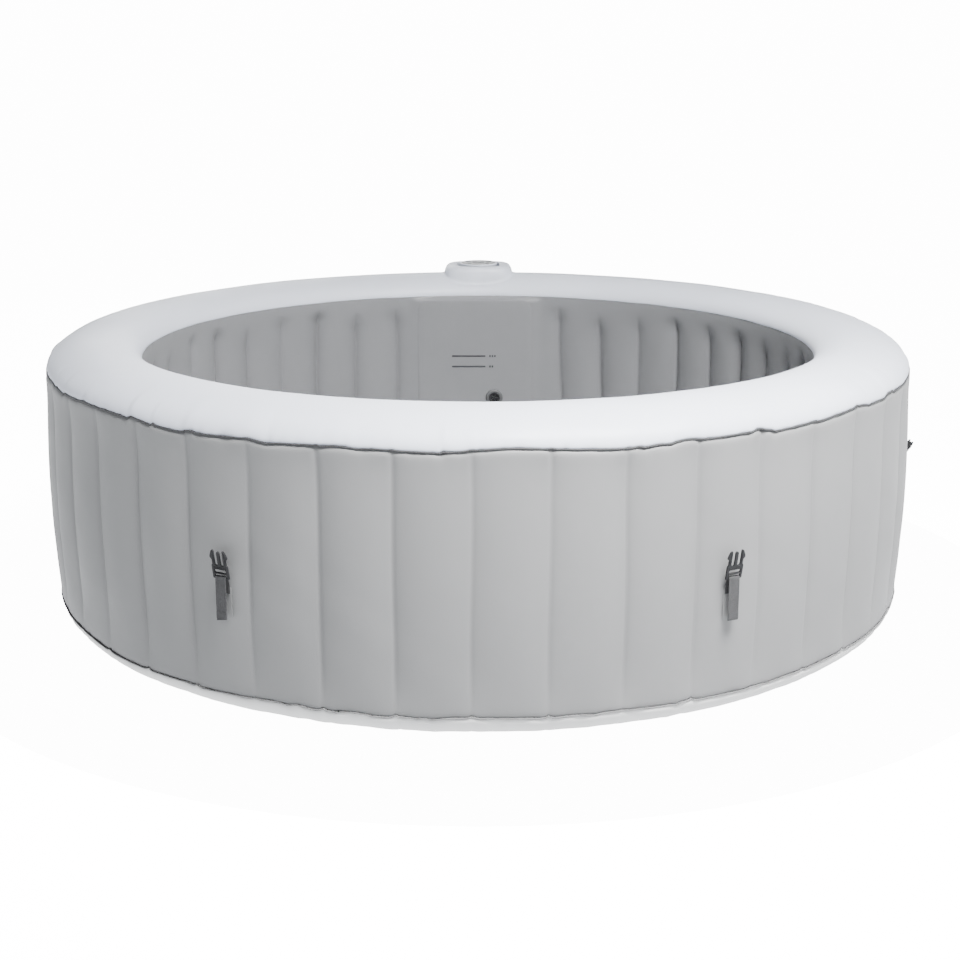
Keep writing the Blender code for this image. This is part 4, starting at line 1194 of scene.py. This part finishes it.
def rear_fittings():
    """The drain, the air valve and their caps."""
    bulge = bulge_at(DRAIN_Z + 0.026)
    place = outward(VALVE_ANGLE, DRAIN_Z) @ STAND_UP
    pipe = [(0.0110, -0.2260), (0.0238, -0.2260), (0.0250, -0.2248), (0.0250, -0.2187), (0.0160, -0.2187),
            (0.0160, bulge + 0.0008), (0.0260, bulge + 0.0008), (0.0260, bulge + 0.0030),
            (0.0250, bulge + 0.0040), (0.0150, bulge + 0.0040), (0.0150, 0.0160), (0.0110, 0.0160)]

    def strainer(bm):
        outlines = [circle(0.0112, 48)]
        for offset in (-0.0062, 0, 0.0062):
            outlines.append(rounded_box((-0.0075, offset - 0.0015), (0.0075, offset + 0.0015), 0.0012)[::-1])
        disc = place @ Matrix.Translation((0, 0, -0.2246))
        merge(bm, outline_plate(outlines, 0.0024, 0.0003, disc, 2))

    def drain_grip(bm):
        grip = place @ Matrix.Translation((0, 0, 0.0236))
        add_slab(bm, (-0.012, -0.0025), (0.012, 0.0025), 0.0018, 0.0064, 0.0008, grip, 2, 4)

    turned_piece("drain_outlet", pipe, "grey_plastic", place, stands_for=("drain_pipe",), extra=strainer)
    low = bulge + 0.0044
    cap = [(0, 0.0166), (0.0156, 0.0166), (0.0156, low), (0.0188, low), (0.0195, low + 0.0010),
           (0.0195, 0.0180), (0.0188, 0.0198), (0.0170, 0.0210), (0, 0.0210)]
    turned_piece("drain_screw_cap", cap, "grey_plastic", place, "drain_cap", ("drain_cap",),
                 96, 0.012, 24, drain_grip)

    bulge = bulge_at(INFLATION_Z - 0.028)
    valve_place = outward(-VALVE_ANGLE, INFLATION_Z) @ STAND_UP
    body = [(0.0100, -0.0200), (0.0160, -0.0200), (0.0160, bulge + 0.0006), (0.0280, bulge + 0.0006),
            (0.0280, bulge + 0.0016), (0.0270, bulge + 0.0028), (0.0220, bulge + 0.0034),
            (0.0165, bulge + 0.0050), (0.0150, bulge + 0.0056), (0.0150, bulge + 0.0140),
            (0.0100, bulge + 0.0140)]
    turned_piece("air_valve_body", body, "grey_plastic", valve_place, stands_for=("inflation_valve",))
    low, high = bulge + 0.0060, bulge + 0.0190
    cap = [(0, high - 0.0044), (0.0156, high - 0.0044), (0.0156, low), (0.0184, low), (0.0190, low + 0.0008),
           (0.0190, high - 0.0024), (0.0182, high - 0.0006), (0.0170, high), (0, high)]

    def valve_grip(bm):
        grip = valve_place @ Matrix.Translation((0, 0, high + 0.0026))
        add_slab(bm, (-0.011, -0.0022), (0.011, 0.0022), 0.0016, 0.0066, 0.0008, grip, 2, 4)

    turned_piece("air_valve_cap", cap, "grey_plastic", valve_place, "inflation_valve_cap",
                 ("inflation_valve_cap",), 96, 0.012, 24, valve_grip)


def dress_cad_nodes():
    """Gives every CAD node that stays in view its slot's material."""
    slots = {row["node"]: row["material_slot"] for row in frame["record"]["subparts"]}
    for name, node in frame["nodes"].items():
        if name in slots:
            node.data.materials.clear()
            node.data.materials.append(looks[slots[name]])


dress_cad_nodes()
outer_wall()
seam_tape("upper_seam_tape", upper_seam, "seam_vinyl", ("upper_seam_flange",), 101, 0.0015)
seam_tape("lower_seam_tape", lower_seam, "lower_seam", ("lower_seam_flange",), 107, 0.0009)
top_rim()
inner_wall()
base_panel()
floor_liner()
bubble_ring()
wall_webs()
service_panel()
panel_fittings()
control_head()
control_panel()
straps()
rear_fittings()
studio()
